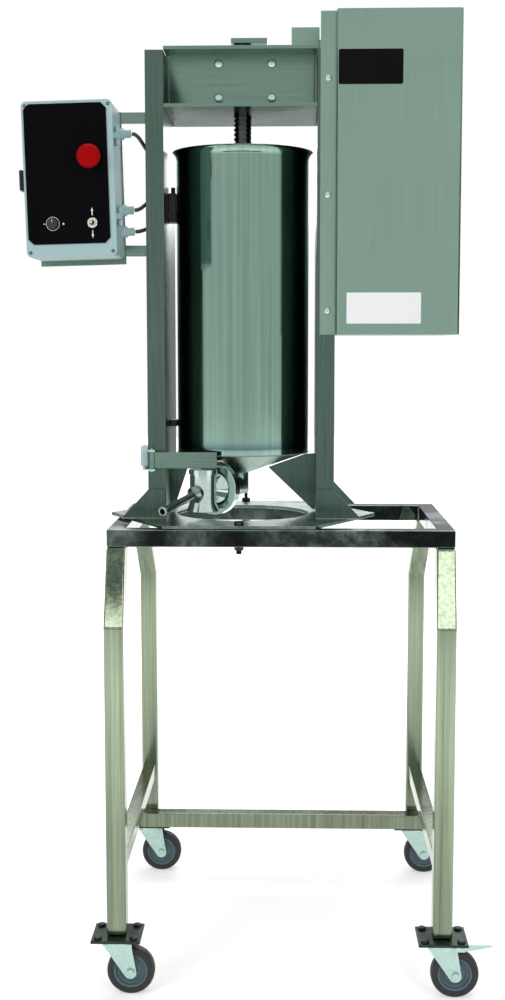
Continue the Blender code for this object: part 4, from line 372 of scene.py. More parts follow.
bolt_heads = bolt_head_tree()
black_plate = steel(
    "black_plate", (0.012, 0.018, 0.015), (0.060, 0.085, 0.072),
    rough=0.34, across=180.0, up=180.0, depth=0.2, smear=0.3,
)
plate_sheet = 0.005
bolt_across = 0.0300
bolt_along = 0.0265
sunk = 0.0002
upwards = (0, 0, 1)
for corner in corners:
    plate = "caster_plate_" + corner
    softened(plate, black_plate, edge=0.0008)
    low, high, middle = box_of(plate)
    rows = (-1, 1) if corner.startswith("front") else (1,)
    heads = [
        (middle.x + bolt_across * side, middle.y + bolt_along * row, low.z + plate_sheet - sunk)
        for row in rows for side in (-1, 1)
    ]
    bolts(
        "caster_bolts_" + corner, heads, upwards, black_plate,
        radius=0.0066, height=0.0036, dome=0.0011,
    )


# Caster forks
# Pressed forks of 3 mm steel with a swivel head, zinc plated and slightly blue.
# Each has its axle through both legs, with a nut on the outside.
zinc_sheet = steel(
    "zinc_sheet", (0.340, 0.500, 0.450), (0.580, 0.760, 0.700),
    rough=0.24, across=140.0, up=140.0, depth=0.12, smear=0.35,
)
for corner in corners:
    softened("fork_" + corner, zinc_sheet, edge=0.0007)


# Caster wheels
# A black rubber tyre is moulded on a grey-blue hub that has a raised ring in its
# web and a boss round the axle. Both turn together.
def walls(mesh, first, second):
    """Faces between two loops that have the same number of corners."""
    for k in range(len(first)):
        following = (k + 1) % len(first)
        mesh.faces.new((first[k], first[following], second[following], second[k]))


def turned(
    name, profile, origin, axis, surface, body,
    count, edge=0.0, ring=False, stands_for=(),
):
    """A turned piece: radius and height pairs carried round an axis."""
    mesh = bmesh.new()
    turn = Vector((0, 0, 1)).rotation_difference(Vector(axis)).to_matrix().to_4x4()
    place = Matrix.Translation(origin) @ turn
    angles = [2.0 * math.pi * k / count for k in range(count)]
    rows = []
    for radius, height in profile:
        if radius == 0.0:
            rows.append([mesh.verts.new(place @ Vector((0.0, 0.0, height)))] * count)
            continue
        spots = (Vector((radius * math.cos(a), radius * math.sin(a), height)) for a in angles)
        rows.append([mesh.verts.new(place @ spot) for spot in spots])
    pairs = list(zip(rows, rows[1:]))
    if ring:
        pairs.append((rows[-1], rows[0]))
    for low, high in pairs:
        for k in range(count):
            following = (k + 1) % count
            # A row on the axis is one corner, so its faces are triangles.
            around = dict.fromkeys((low[k], low[following], high[following], high[k]))
            mesh.faces.new(list(around))
    bmesh.ops.recalc_face_normals(mesh, faces=mesh.faces)
    settle(name, mesh, surface, body, edge, stands_for)


def moulded_skin_group():
    """Fine moulding grain over broad, slow marks of handling."""
    tree = bpy.data.node_groups.new("moulded_skin", "ShaderNodeTree")
    declare(tree, "INPUT", "Float", "Scale", "Depth", "Roughness", "Wear")
    declare(tree, "OUTPUT", "Float", "Shade", "Roughness")
    declare(tree, "OUTPUT", "Vector", "Normal")
    given = add(tree, "NodeGroupInput").outputs
    place = add(tree, "ShaderNodeTexCoord").outputs["Object"]
    grain = {"Vector": place, "Scale": given["Scale"], "Detail": 2.0}
    fine = add(tree, "ShaderNodeTexNoise", grain).outputs["Fac"]
    marks = {"Vector": place, "Scale": 16.0, "Detail": 5.0}
    broad = add(tree, "ShaderNodeTexNoise", marks).outputs["Fac"]
    shade = maths(tree, "MULTIPLY_ADD", fine, 0.45, maths(tree, "MULTIPLY", broad, 0.55))
    centred = maths(tree, "SUBTRACT", broad, 0.5)
    rough = maths(tree, "MULTIPLY_ADD", centred, given["Wear"], given["Roughness"], clamp=True)
    bump = {"Strength": given["Depth"], "Distance": grain_depth, "Height": fine}
    bump = add(tree, "ShaderNodeBump", bump)
    outputs = {"Shade": shade, "Roughness": rough, "Normal": bump.outputs["Normal"]}
    add(tree, "NodeGroupOutput", outputs)
    return tree


def moulded(name, dark, light, rough, scale, depth, wear, gloss=0.42):
    """A plastic or rubber with a fine skin: its grains per metre, their depth and its wear."""
    values = {"Scale": scale, "Depth": depth, "Roughness": rough, "Wear": wear}
    made = two_toned(name, dark, light, moulded_skin, values)
    made.node_tree.nodes["Principled BSDF"].inputs["Specular IOR Level"].default_value = gloss
    return made


grain_depth = 0.0003
moulded_skin = moulded_skin_group()
tyre_black = moulded(
    "tyre_black", (0.010, 0.010, 0.011), (0.034, 0.034, 0.036),
    rough=0.52, scale=300.0, depth=0.3, wear=0.3,
)
hub_blue = moulded(
    "hub_blue", (0.060, 0.105, 0.120), (0.110, 0.170, 0.190),
    rough=0.36, scale=260.0, depth=0.15, wear=0.2,
)
half_tyre = [
    (0.0285, -0.0105), (0.0315, -0.0118), (0.0350, -0.0120),
    (0.0378, -0.0110), (0.0394, -0.0085), (0.0400, -0.0045),
]
tyre_profile = half_tyre + [(radius, -out) for radius, out in reversed(half_tyre)]
half_hub = [
    (0.0058, 0.0098), (0.0108, 0.0098), (0.0112, 0.0060), (0.0180, 0.0052),
    (0.0186, 0.0068), (0.0204, 0.0068), (0.0210, 0.0052), (0.0245, 0.0052),
    (0.0252, 0.0092), (0.0268, 0.0100), (0.0288, 0.0100),
]
hub_profile = half_hub + [(radius, -out) for radius, out in reversed(half_hub)]
axle = (0, 1, 0)
for corner in corners:
    wheel = "wheel_" + corner
    centre = box_of(wheel)[2]
    turned(
        "tyre_" + corner, tyre_profile, centre, axle, tyre_black, wheel,
        count=72, ring=True, stands_for=(wheel,),
    )
    turned(
        "hub_" + corner, hub_profile, centre, axle, hub_blue, wheel,
        count=72, edge=0.0004, ring=True,
    )


# Brake pedal
# A pressed tread plate of zinc-plated steel on the front right caster, which is
# pushed down with a toe. It hinges on a pin in the fork's side.
softened("brake_pedal", zinc_sheet, edge=0.0009)


# Base plate and hold-down bolts
# A six-millimetre plate with pointed corners lies on the table, with a round hole
# under the outlet. A bolt in front and a long stud behind clamp it to the tube.
def prism(mesh, near, far):
    """Two flat outlines and the wall between them, as one closed solid."""
    near, far = ([mesh.verts.new(spot) for spot in outline] for outline in (near, far))
    mesh.faces.new(near)
    mesh.faces.new(list(reversed(far)))
    walls(mesh, far, near)


plate_steel = steel(
    "plate_steel", (0.080, 0.125, 0.105), (0.260, 0.360, 0.310),
    rough=0.20, across=40.0, up=40.0, depth=0.05, smear=0.35,
)
dark_bolt = steel(
    "dark_bolt", (0.012, 0.013, 0.013), (0.070, 0.072, 0.070),
    rough=0.38, across=300.0, up=300.0, depth=0.2, smear=0.3,
)
softened("base_plate", plate_steel, edge=0.0010)
plate_low, plate_high, plate_middle = box_of("base_plate")
table_bottom = box_of("table_frame")[0].z
thread_pitch = 0.0016
thread_depth = 0.0006
thread_start = 0.0004
thread_stop = 0.0010
tip_chamfer = 0.0006
nut_radius = 0.0083
nut_high = 0.0068
nut_edge = 0.0006
nut_gap_above = 0.0001
nut_gap_below = 0.0003
nut_places = (
    ("nut_above", plate_high.z + nut_gap_above),
    ("nut_below", table_bottom - nut_gap_below - nut_high),
)
for label, thick in (("hold_down_bolt", 0.0050), ("hold_down_stud", 0.0036)):
    low, high, middle = box_of(label)
    rod = [(0.0, low.z)]
    for k in range(int((high.z - thread_stop - low.z) / thread_pitch)):
        root = low.z + thread_start + k * thread_pitch
        rod += [(thick - thread_depth, root), (thick, root + thread_pitch / 2.0)]
    rod += [(thick - thread_depth, high.z - tip_chamfer), (0.0, high.z)]
    turned(
        label + "_rod", rod, (middle.x, middle.y, 0.0), upwards,
        dark_bolt, "stand",
        count=24, stands_for=(label,),
    )
    for nut, foot in nut_places:
        mesh = bmesh.new()
        around = []
        for k in range(6):
            a = math.radians(60 * k)
            x, y = nut_radius * math.cos(a), nut_radius * math.sin(a)
            around.append((middle.x + x, middle.y + y))
        prism(mesh, [(x, y, foot + nut_high) for x, y in around], [(x, y, foot) for x, y in around])
        settle(label + "_" + nut, mesh, dark_bolt, "stand", nut_edge)


# Posts and their feet
# Two 230 mm deep channels of 4 mm stainless sheet, each on a flared foot plate that
# is welded to the base plate. The weld is a row of small, overlapping beads.
def weld_bead_tree():
    """Overlapping round beads, a little uneven, along the edges it is given."""
    tree = bpy.data.node_groups.new("weld_beads", "GeometryNodeTree")
    declare(tree, "INPUT", "Geometry", "Path")
    declare(tree, "INPUT", "Float", "Bead Radius", "Bead Step")
    declare(tree, "INPUT", "Int", "Seed")
    declare(tree, "INPUT", "Material", "Finish")
    declare(tree, "OUTPUT", "Geometry", "Beads")
    given = add(tree, "NodeGroupInput").outputs
    line = add(tree, "GeometryNodeMeshToCurve", {"Mesh": given["Path"]}).outputs["Curve"]
    steps = {"Curve": line, "Length": given["Bead Step"]}
    bead = {"Subdivisions": 2, "Radius": given["Bead Radius"]}
    uneven = {2: 0.82, 3: 1.12, "Seed": given["Seed"]}
    beads = add(tree, "GeometryNodeInstanceOnPoints", {
        "Points": add(tree, "GeometryNodeCurveToPoints", steps, mode="LENGTH").outputs["Points"],
        "Instance": add(tree, "GeometryNodeMeshIcoSphere", bead).outputs["Mesh"],
        "Scale": add(tree, "FunctionNodeRandomValue", uneven, data_type="FLOAT").outputs[1],
    })
    real_with_finish(tree, given, beads.outputs[0], "Beads")
    return tree


def weld_line(name, runs, radius, seed):
    """Beads on the stand along straight runs, each from one point to another."""
    points = [point for run in runs for point in run]
    edges = [(2 * k, 2 * k + 1) for k in range(len(runs))]
    sizes = {"Bead Radius": radius, "Bead Step": radius * bead_step, "Seed": seed}
    grown(name, weld_beads, points, edges, sizes, weld_metal, "stand")


bead_step = 1.5
weld_beads = weld_bead_tree()
weld_metal = steel(
    "weld_metal", (0.16, 0.17, 0.16), (0.42, 0.44, 0.41),
    rough=0.30, across=700.0, up=700.0, depth=0.2, smear=0.4,
)
post_steel = steel(
    "post_steel", (0.030, 0.054, 0.042), (0.135, 0.205, 0.170),
    rough=0.24, across=1100.0, up=7.0, depth=0.12, smear=0.22,
)
for label in ("post_left", "post_right"):
    softened(label, post_steel, edge=0.0009)
post_low, post_high, post_middle = box_of("post_left")
machine_x, machine_y = plate_middle.x, post_middle.y
weld_gap = 0.0005
foot_spans = ((-0.2400, -0.1630), (0.1090, 0.1860))
foot_runs = [
    ((left, y, post_low.z), (right, y, post_low.z))
    for left, right in foot_spans
    for y in (post_low.y - weld_gap, post_high.y + weld_gap)
]
weld_line("foot_welds", foot_runs, radius=0.0016, seed=3)
fin_places = (-0.1937, 0.1394)
fin_front = -0.0262
fin_foot, fin_top = 0.7715, 0.8210
fin_runs = [((x, fin_front, fin_foot), (x, fin_front, fin_top)) for x in fin_places]
weld_line("post_welds", fin_runs, radius=0.0009, seed=5)


# Cylinder brackets
# Two dark steel brackets on the left post carry the cylinder's hinge side, each
# with a short pin at its end.
for label in ("cylinder_bracket_lower", "cylinder_bracket_upper"):
    softened(label, dark_bolt, edge=0.0010)


# Crosshead and the screw's bearing housing
# An open box of 6 mm stainless plate is welded between the posts. The housing with
# the nut's bearing hangs inside it on four dome-headed screws, front and rear.
cross_steel = steel(
    "cross_steel", (0.090, 0.150, 0.122), (0.215, 0.320, 0.265),
    rough=0.22, across=8.0, up=900.0, depth=0.08, smear=0.30,
)
softened("crosshead", cross_steel, edge=0.0009)
softened("bearing_housing", cross_steel, edge=0.0007)
dome_steel = steel(
    "dome_steel", (0.300, 0.440, 0.380), (0.580, 0.740, 0.660),
    rough=0.20, across=300.0, up=300.0, depth=0.1, smear=0.2,
)
housing_screws_x = (machine_x - 0.040, machine_x + 0.054)
housing_screws_z = (1.51525, 1.57425)
housing_front, housing_rear = 0.0243, 0.1537
for label, y, side in (("front", housing_front, -1), ("rear", housing_rear, 1)):
    spots = [(x, y, z) for x in housing_screws_x for z in housing_screws_z]
    bolts(
        "housing_screws_" + label, spots, (0, side, 0), dome_steel,
        radius=0.0077, height=0.0038, dome=0.0032,
    )
web_ends = (-0.1560, 0.1018)
web_faces = (0.0236, 0.1544)
web_foot, web_top = 1.5010, 1.5890
web_runs = [((x, y, web_foot), (x, y, web_top)) for x in web_ends for y in web_faces]
weld_line("crosshead_welds", web_runs, radius=0.0014, seed=11)


# Drive nut, pulleys, belt and gear motor
# The bronze nut turns in the housing under its pulley, and a flat belt joins it to
# the motor's pulley inside the cover. The gear motor hangs from a bracket.
bronze = steel(
    "bearing_bronze", (0.42, 0.26, 0.10), (0.66, 0.44, 0.20),
    rough=0.30, across=300.0, up=300.0, depth=0.1, smear=0.2,
)
machined = steel(
    "machined_steel", (0.30, 0.31, 0.31), (0.58, 0.60, 0.60),
    rough=0.28, across=20.0, up=900.0, depth=0.1, smear=0.2,
)
belt_rubber = moulded(
    "belt_rubber", (0.012, 0.012, 0.013), (0.036, 0.036, 0.038),
    rough=0.60, scale=700.0, depth=0.4, wear=0.2,
)
motor_paint = moulded(
    "motor_paint", (0.075, 0.085, 0.095), (0.120, 0.132, 0.145),
    rough=0.38, scale=180.0, depth=0.3, wear=0.2,
)
softened("drive_nut", bronze, edge=0.0006)
softened("driven_pulley", machined, edge=0.0006)
softened("motor_pulley", machined, edge=0.0006)
softened("drive_belt", belt_rubber, edge=0.0004)
softened("gear_motor", motor_paint, edge=0.0016)


# Drive cover
# A folded cover of 2 mm stainless sheet, brushed from top to bottom, is screwed to
# the right post through flanges in front and behind. Two plates on its face are bare.
cover_steel = steel(
    "cover_steel", (0.155, 0.240, 0.200), (0.275, 0.400, 0.335),
    rough=0.27, across=1500.0, up=5.0, depth=0.10, smear=0.20,
)
softened("drive_cover", cover_steel, edge=0.0007)
cover_screws_x = machine_x + 0.153
cover_screws_z = (1.1396, 1.3405, 1.5398)
flange_front, flange_rear = -0.0280, 0.2060
for label, y, side in (("front", flange_front, -1), ("rear", flange_rear, 1)):
    spots = [(cover_screws_x, y, z) for z in cover_screws_z]
    bolts(
        "cover_screws_" + label, spots, (0, side, 0), dome_steel,
        radius=0.0057, height=0.0024, dome=0.0024,
    )


def face_plate(name, low, high, surface, thick, corner):
    """A thin plate with round corners on the cover's face, let a little into it."""
    outline = []
    for cx, cz, start in (
        (high[0] - corner, high[1] - corner, 0), (low[0] + corner, high[1] - corner, 90),
        (low[0] + corner, low[1] + corner, 180), (high[0] - corner, low[1] + corner, 270),
    ):
        for k in range(7):
            a = math.radians(start + 15 * k)
            outline.append((cx + corner * math.cos(a), cz + corner * math.sin(a)))
    mesh = bmesh.new()
    near = [(x, cover_face - thick, z) for x, z in outline]
    far = [(x, cover_face + let_in, z) for x, z in outline]
    prism(mesh, near, far)
    bmesh.ops.recalc_face_normals(mesh, faces=mesh.faces)
    settle(name, mesh, surface, "stand", plate_edge)


cover_face = box_of("drive_cover")[0].y
let_in = 0.0003
plate_edge = 0.0002
plate_black = moulded(
    "plate_black", (0.002, 0.002, 0.003), (0.006, 0.006, 0.007),
    rough=0.30, scale=500.0, depth=0.05, wear=0.15, gloss=0.04,
)
plate_white = moulded(
    "plate_white", (0.74, 0.75, 0.76), (0.86, 0.87, 0.88),
    rough=0.35, scale=400.0, depth=0.05, wear=0.15,
)
face_plate(
    "cover_plate_dark", (0.1430, 1.5260), (0.2540, 1.5850), plate_black,
    thick=0.0008, corner=0.0030,
)
face_plate(
    "cover_plate_pale", (0.1590, 1.1170), (0.2890, 1.1710), plate_white,
    thick=0.0005, corner=0.0020,
)


# Stop plate and end switch
# A stainless disc plate is screwed on top of the lift screw. At the end of the
# stroke it comes down beside the end switch in its folded steel case.
softened("stop_plate", cross_steel, edge=0.0008)
softened("end_switch", cover_steel, edge=0.0010)


# Lift screw
# A 32 mm screw with three oiled, square-topped threads that rise 25 mm a turn. It
# doesn't turn itself: the nut drives it up and down.
def thread_tree():
    """Threads of equal rise round an upright core of the given length."""
    tree = bpy.data.node_groups.new("screw_thread", "GeometryNodeTree")
    declare(tree, "INPUT", "Geometry", "Foot")
    declare(tree, "INPUT", "Float", "Length", "Lead", "Root Radius", "Crest Height", "Land Width")
    declare(tree, "INPUT", "Int", "Starts")
    declare(tree, "INPUT", "Material", "Finish")
    declare(tree, "OUTPUT", "Geometry", "Thread")
    given = add(tree, "NodeGroupInput").outputs
    helix = add(tree, "GeometryNodeCurveSpiral", {
        "Resolution": 28,
        "Rotations": maths(tree, "DIVIDE", given["Length"], given["Lead"]),
        "Start Radius": given["Root Radius"],
        "End Radius": given["Root Radius"],
        "Height": given["Length"],
    })
    helix = {"Curve": helix.outputs["Curve"]}
    helix = add(tree, "GeometryNodeSetCurveNormal", helix, mode="Z_UP")
    section = add(tree, "GeometryNodeCurvePrimitiveQuadrilateral", {
        "Width": maths(tree, "MULTIPLY", given["Crest Height"], 2.0),
        "Height": given["Land Width"],
    })
    ridge = add(tree, "GeometryNodeCurveToMesh", {
        "Curve": helix.outputs["Curve"],
        "Profile Curve": section.outputs["Curve"],
        "Fill Caps": True,
    })
    start = add(tree, "GeometryNodeInputIndex").outputs[0]
    angle = maths(tree, "MULTIPLY", maths(tree, "DIVIDE", start, given["Starts"]), 2.0 * math.pi)
    threads = add(tree, "GeometryNodeInstanceOnPoints", {
        "Points": add(tree, "GeometryNodePoints", {"Count": given["Starts"]}).outputs[0],
        "Instance": ridge.outputs[0],
        "Rotation": add(tree, "ShaderNodeCombineXYZ", {2: angle}).outputs[0],
    })
    core_size = {"Vertices": 48, "Radius": given["Root Radius"], "Depth": given["Length"]}
    raised = add(tree, "ShaderNodeCombineXYZ", {2: maths(tree, "MULTIPLY", given["Length"], 0.5)})
    core = add(tree, "GeometryNodeTransform", {
        "Geometry": add(tree, "GeometryNodeMeshCylinder", core_size).outputs["Mesh"],
        "Translation": raised.outputs[0],
    })
    both = add(tree, "GeometryNodeJoinGeometry", {0: threads.outputs[0]})
    tree.links.new(core.outputs[0], both.inputs[0])
    stood = {"Points": given["Foot"], "Instance": both.outputs[0]}
    screw = add(tree, "GeometryNodeInstanceOnPoints", stood)
    real_with_finish(tree, given, screw.outputs[0], "Thread")
    return tree


oiled = steel(
    "oiled_steel", (0.030, 0.032, 0.034), (0.130, 0.135, 0.140),
    rough=0.24, across=300.0, up=300.0, depth=0.15, smear=0.3,
)
screw_low, screw_high, screw_middle = box_of("lift_screw")
end_gap = 0.0002
screw_sizes = {
    "Length": screw_high.z - screw_low.z - 2.0 * end_gap,
    "Lead": 0.025, "Root Radius": 0.0138, "Crest Height": 0.0022, "Land Width": 0.0040, "Starts": 3,
}
grown(
    "lift_screw_thread", thread_tree(), [(machine_x, machine_y, screw_low.z + end_gap)], [],
    screw_sizes, oiled, "lift", ("lift_screw",),
)


# Piston and its seal
# A turned stainless disc with a rubber ring in its rim rests near the bottom of the
# cylinder and pushes the meat down and out.
softened("piston", machined, edge=0.0009)
seal_rubber = moulded(
    "seal_rubber", (0.012, 0.012, 0.013), (0.034, 0.034, 0.036),
    rough=0.45, scale=500.0, depth=0.2, wear=0.2,
)
softened("piston_seal", seal_rubber, edge=0.0006)


# Cylinder
# Rolled from 2 mm stainless, ground smooth inside and brushed up and down outside,
# with its mouth rolled outwards. Welding has left a blue tint just above the foot.
barrel_low, barrel_high, barrel_middle = box_of("cylinder")
barrel_foot, barrel_top = barrel_low.z, barrel_high.z
outer = 0.1210
wall = 0.0020
tint_high = 0.0300
cylinder_steel = steel(
    "cylinder_steel", (0.105, 0.185, 0.150), (0.285, 0.420, 0.350),
    rough=0.05, across=130.0, up=1.2, depth=0.03, smear=0.16,
)
tree = cylinder_steel.node_tree
place = add(tree, "ShaderNodeTexCoord").outputs["Object"]
up = add(tree, "ShaderNodeSeparateXYZ", {0: place}).outputs["Z"]
heated = {"Value": up, "From Min": barrel_foot, "From Max": barrel_foot + tint_high}
height = add(tree, "ShaderNodeMapRange", heated).outputs["Result"]
tint = add(tree, "ShaderNodeValToRGB", {"Fac": height})
first, last = tint.color_ramp.elements
first.color = (1.35, 1.35, 1.35, 1.0)
last.color = white
for share, colour in (
    (0.28, (1.25, 1.22, 1.20)), (0.42, (0.42, 0.50, 0.66)),
    (0.62, (0.66, 0.76, 0.88)), (0.90, (1.0, 1.0, 1.0)),
):
    tint.color_ramp.elements.new(share).color = (*colour, 1.0)
colour = tree.nodes["Principled BSDF"].inputs["Base Color"]
layers = {0: 1.0, 6: colour.links[0].from_socket, 7: tint.outputs["Color"]}
tinted = add(tree, "ShaderNodeMix", layers, data_type="RGBA", blend_type="MULTIPLY")
tree.links.new(tinted.outputs[2], colour)
lip = [
    (0.0, -0.0160), (0.0006, -0.0120), (0.0018, -0.0080),
    (0.0038, -0.0042), (0.0060, -0.0014), (0.0075, -0.0003),
]
lip_end = [(0.0073, 0.0), (0.0060, 0.0)]
first_ring, second_ring, third_ring = barrel_foot + 0.0100, 1.1500, 1.3000
barrel = [(outer, z) for z in (barrel_foot, first_ring, second_ring, third_ring)]
barrel += [(outer + out, barrel_top + up) for out, up in lip + lip_end]
barrel += [(outer - wall + out, barrel_top + up) for out, up in reversed(lip[:-1])]
barrel += [(outer - wall, z) for z in (third_ring, second_ring, barrel_foot)]
turned(
    "cylinder_barrel", barrel, (machine_x, machine_y, 0.0), upwards,
    cylinder_steel, "stand",
    count=128, ring=True, stands_for=("cylinder",),
)


# Outlet funnel and elbow
# A shallow cone closes the cylinder and runs off-centre into an elbow with a flange.
# A welded seam goes round where the cone meets the barrel.
funnel_steel = steel(
    "funnel_steel", (0.100, 0.150, 0.125), (0.300, 0.410, 0.355),
    rough=0.20, across=60.0, up=60.0, depth=0.06, smear=0.4,
)
softened("outlet_funnel", funnel_steel, edge=0.0005)
proud = 0.0002
seam_radius = outer + proud
seam_steps = 96
seam = []
for k in range(seam_steps + 1):
    t = 2.0 * math.pi * k / seam_steps
    x, y = seam_radius * math.cos(t), seam_radius * math.sin(t)
    seam.append((machine_x + x, machine_y + y, barrel_foot + proud))
weld_line("barrel_seam", list(zip(seam, seam[1:])), radius=0.0011, seed=17)


# Union nut, valve and nozzle
# A slotted union nut clamps the valve's cone to the elbow. The valve is a short
# turned body with a flared foot, and the filling nozzle is welded into its side.
polished = steel(
    "polished_fitting", (0.340, 0.440, 0.400), (0.660, 0.780, 0.730),
    rough=0.09, across=120.0, up=120.0, depth=0.04, smear=0.22,
)
softened("union_nut", polished, edge=0.0009)
softened("valve_body", polished, edge=0.0009)
nozzle_axis = Vector((-0.46116, -0.86731, -0.18738)).normalized()
nozzle_seat = Vector((-0.093826, -0.043369, 0.8230))
nozzle_profile = [
    (0.0150, 0.0220), (0.0150, 0.0300), (0.0138, 0.0315), (0.0085, 0.0330), (0.0068, 0.0345),
    (0.0065, 0.0365), (0.0065, 0.1245), (0.0070, 0.1252), (0.0084, 0.1260), (0.0086, 0.1280),
    (0.0086, 0.1340), (0.0080, 0.1350), (0.0056, 0.1355), (0.0050, 0.1350), (0.0050, 0.0240),
]
nozzle_steel = steel(
    "nozzle_steel", (0.085, 0.115, 0.100), (0.330, 0.400, 0.365),
    rough=0.10, across=200.0, up=200.0, depth=0.04, smear=0.25,
)
turned(
    "filling_nozzle", nozzle_profile, nozzle_seat, nozzle_axis,
    nozzle_steel, "stand",
    count=48, edge=0.0002, ring=True, stands_for=("nozzle",),
)


# Retaining bar and safety switch
# A bar of bent strip swings across the outlet on a pinned hinge and presses on a
# pale safety switch with its gland while it is shut.
softened("bar_hinge", zinc_sheet, edge=0.0006)
softened("retaining_bar", cross_steel, edge=0.0007)
switch_plastic = moulded(
    "switch_plastic", (0.36, 0.48, 0.52), (0.50, 0.62, 0.66),
    rough=0.42, scale=600.0, depth=0.3, wear=0.2,
)
softened("safety_switch", switch_plastic, edge=0.0012)


# Control box mount
# A stainless back plate on two flat arms that are welded to the left post. The box
# is fixed to the plate's front.
softened("box_mount", cross_steel, edge=0.0008)


# Control box and lid
# A moulded enclosure in pale blue-grey plastic. Its lid turns on two moulded hinges
# at the right side and has a screw in each corner.
box_plastic = moulded(
    "box_plastic", (0.28, 0.41, 0.42), (0.40, 0.55, 0.56),
    rough=0.42, scale=620.0, depth=0.18, wear=0.15,
)
softened("box_body", box_plastic, edge=0.0014)
softened("box_lid", box_plastic, edge=0.0018)
lid_low, lid_high, lid_middle = box_of("box_lid")
lid_face = lid_low.y
box_from_axis = 0.2845
box_x, box_z = machine_x - box_from_axis, lid_middle.z
lean = math.radians(-1.5)


def on_lid(across, y, up):
    """A point of the leaning box, from the middle of its face."""
    x = across * math.cos(lean) + up * math.sin(lean)
    z = up * math.cos(lean) - across * math.sin(lean)
    return Vector((box_x + x, y, box_z + z))


def lid_marks(name, shapes, back, front, surface, body="lid", edge=0.0):
    """Flat printed or moulded shapes on the lid's face, as thin closed solids."""
    mesh = bmesh.new()
    for shape in shapes:
        prism(mesh, [on_lid(u, front, w) for u, w in shape], [on_lid(u, back, w) for u, w in shape])
    bmesh.ops.recalc_face_normals(mesh, faces=mesh.faces)
    settle(name, mesh, surface, body, edge)


def disc(u, w, radius, count=24):
    """The outline of a round mark."""
    turns = (2.0 * math.pi * k / count for k in range(count))
    return [(u + radius * math.cos(t), w + radius * math.sin(t)) for t in turns]


def bar(left, right, low, high):
    """The outline of an upright rectangle."""
    return [(left, low), (right, low), (right, high), (left, high)]


# The lid's screw heads are near-black discs: painted shade of the recesses they sit in, with a
# plated slot bar on each.
painted_recess_shade = moulded(
    "painted_recess_shade", (0.020, 0.024, 0.025), (0.070, 0.080, 0.082),
    rough=0.5, scale=500.0, depth=0.2, wear=0.2,
)
bolt_zinc = steel(
    "bolt_zinc", (0.220, 0.300, 0.270), (0.500, 0.620, 0.570),
    rough=0.26, across=260.0, up=260.0, depth=0.1, smear=0.2,
)
screw_across, screw_up, screw_radius = 0.0700, 0.1215, 0.0031
screw_spots = [(side * screw_across, end * screw_up) for side in (-1, 1) for end in (-1, 1)]
slot_long, slot_wide = 0.0021, 0.0004
head_back, head_front = lid_face + 0.0004, lid_face - 0.0004
slot_back, slot_front = lid_face - 0.0003, lid_face - 0.0006
heads = [disc(u, w, screw_radius) for u, w in screw_spots]
slots = [bar(u - slot_long, u + slot_long, w - slot_wide, w + slot_wide) for u, w in screw_spots]
# The dark discs carry painted shade for the screw recesses, which are not modelled.
lid_marks("lid_screws", heads, head_back, head_front, painted_recess_shade, edge=0.0002)
lid_marks("lid_screw_slots", slots, slot_back, slot_front, bolt_zinc)


# Front panel
# A black plate with notched corners, printed in white with plain marks only: two
# arrows for up and down at the toggle, and a ring, a dash and a dot at the knob.
panel_black = moulded(
    "panel_black", (0.001, 0.001, 0.002), (0.003, 0.003, 0.004),
    rough=0.34, scale=900.0, depth=0.06, wear=0.2, gloss=0.03,
)
softened("front_panel", panel_black, edge=0.0003)
print_white = moulded(
    "print_white", (0.62, 0.64, 0.64), (0.80, 0.82, 0.82),
    rough=0.5, scale=900.0, depth=0.05, wear=0.1,
)
panel_sheet = 0.0020
panel_y = box_of("front_panel")[1].y - panel_sheet
ink_back, ink_front = panel_y + 0.0001, panel_y - 0.0002
stop_u, stop_w = 0.037, 0.034
toggle_u, toggle_w = 0.037, -0.074
knob_u, knob_w = -0.030, -0.074
stem, barb = 0.0008, 0.0020
marks = []
for sign in (-1, 1):
    foot, neck, tip = (toggle_w + sign * away for away in (0.0125, 0.0195, 0.0255))
    outline = [(-stem, foot), (stem, foot), (stem, neck), (barb, neck)]
    outline += [(0.0, tip), (-barb, neck), (-stem, neck)]
    arrow = [(toggle_u + across, w) for across, w in outline]
    marks.append(arrow if sign < 0 else list(reversed(arrow)))
marks += [bar(-0.0462, -0.0422, -0.0746, -0.0734), disc(-0.0120, -0.0745, 0.0016, 20)]
lid_marks("panel_print", marks, ink_back, ink_front, print_white)
ring_in, ring_out = 0.0108, 0.0116
ring = bmesh.new()
loops = []
for radius, y in (
    (ring_in, ink_back), (ring_in, ink_front), (ring_out, ink_front), (ring_out, ink_back),
):
    loops.append([ring.verts.new(on_lid(u, y, w)) for u, w in disc(knob_u, knob_w, radius, 48)])
for k in range(4):
    walls(ring, loops[k], loops[(k + 1) % 4])
bmesh.ops.recalc_face_normals(ring, faces=ring.faces)
settle("panel_ring", ring, print_white, "lid")


# Emergency stop button
# A red mushroom head of 40 mm on a dark collar. It is pushed in and springs back.
# The dark collar stays on the panel.
stop_red = moulded(
    "stop_red", (0.270, 0.001, 0.001), (0.370, 0.002, 0.002),
    rough=0.42, scale=500.0, depth=0.12, wear=0.2, gloss=0.06,
)
outwards = (0, -1, 0)
stop_seat = on_lid(stop_u, panel_y, stop_w)
under = 0.0146
cap = [
    (0.0172, 0.0), (0.0192, 0.0012), (0.0200, 0.0034), (0.0199, 0.0058), (0.0190, 0.0086),
    (0.0172, 0.0107), (0.0140, 0.0123), (0.0100, 0.0133), (0.0050, 0.0139), (0.0, 0.0140),
]
mushroom = [(0.0, 0.0057), (0.0069, 0.0057), (0.0069, under)]
mushroom += [(radius, under + out) for radius, out in cap]
turned(
    "stop_head", mushroom, stop_seat, outwards, stop_red, "stop_button",
    count=64, stands_for=("stop_button",),
)
collar_grey = moulded(
    "collar_grey", (0.030, 0.032, 0.034), (0.070, 0.074, 0.076),
    rough=0.36, scale=500.0, depth=0.15, wear=0.2,
)
collar = [(0.0078, 0.0), (0.0150, 0.0), (0.0150, 0.0060), (0.0144, 0.0092), (0.0078, 0.0092)]
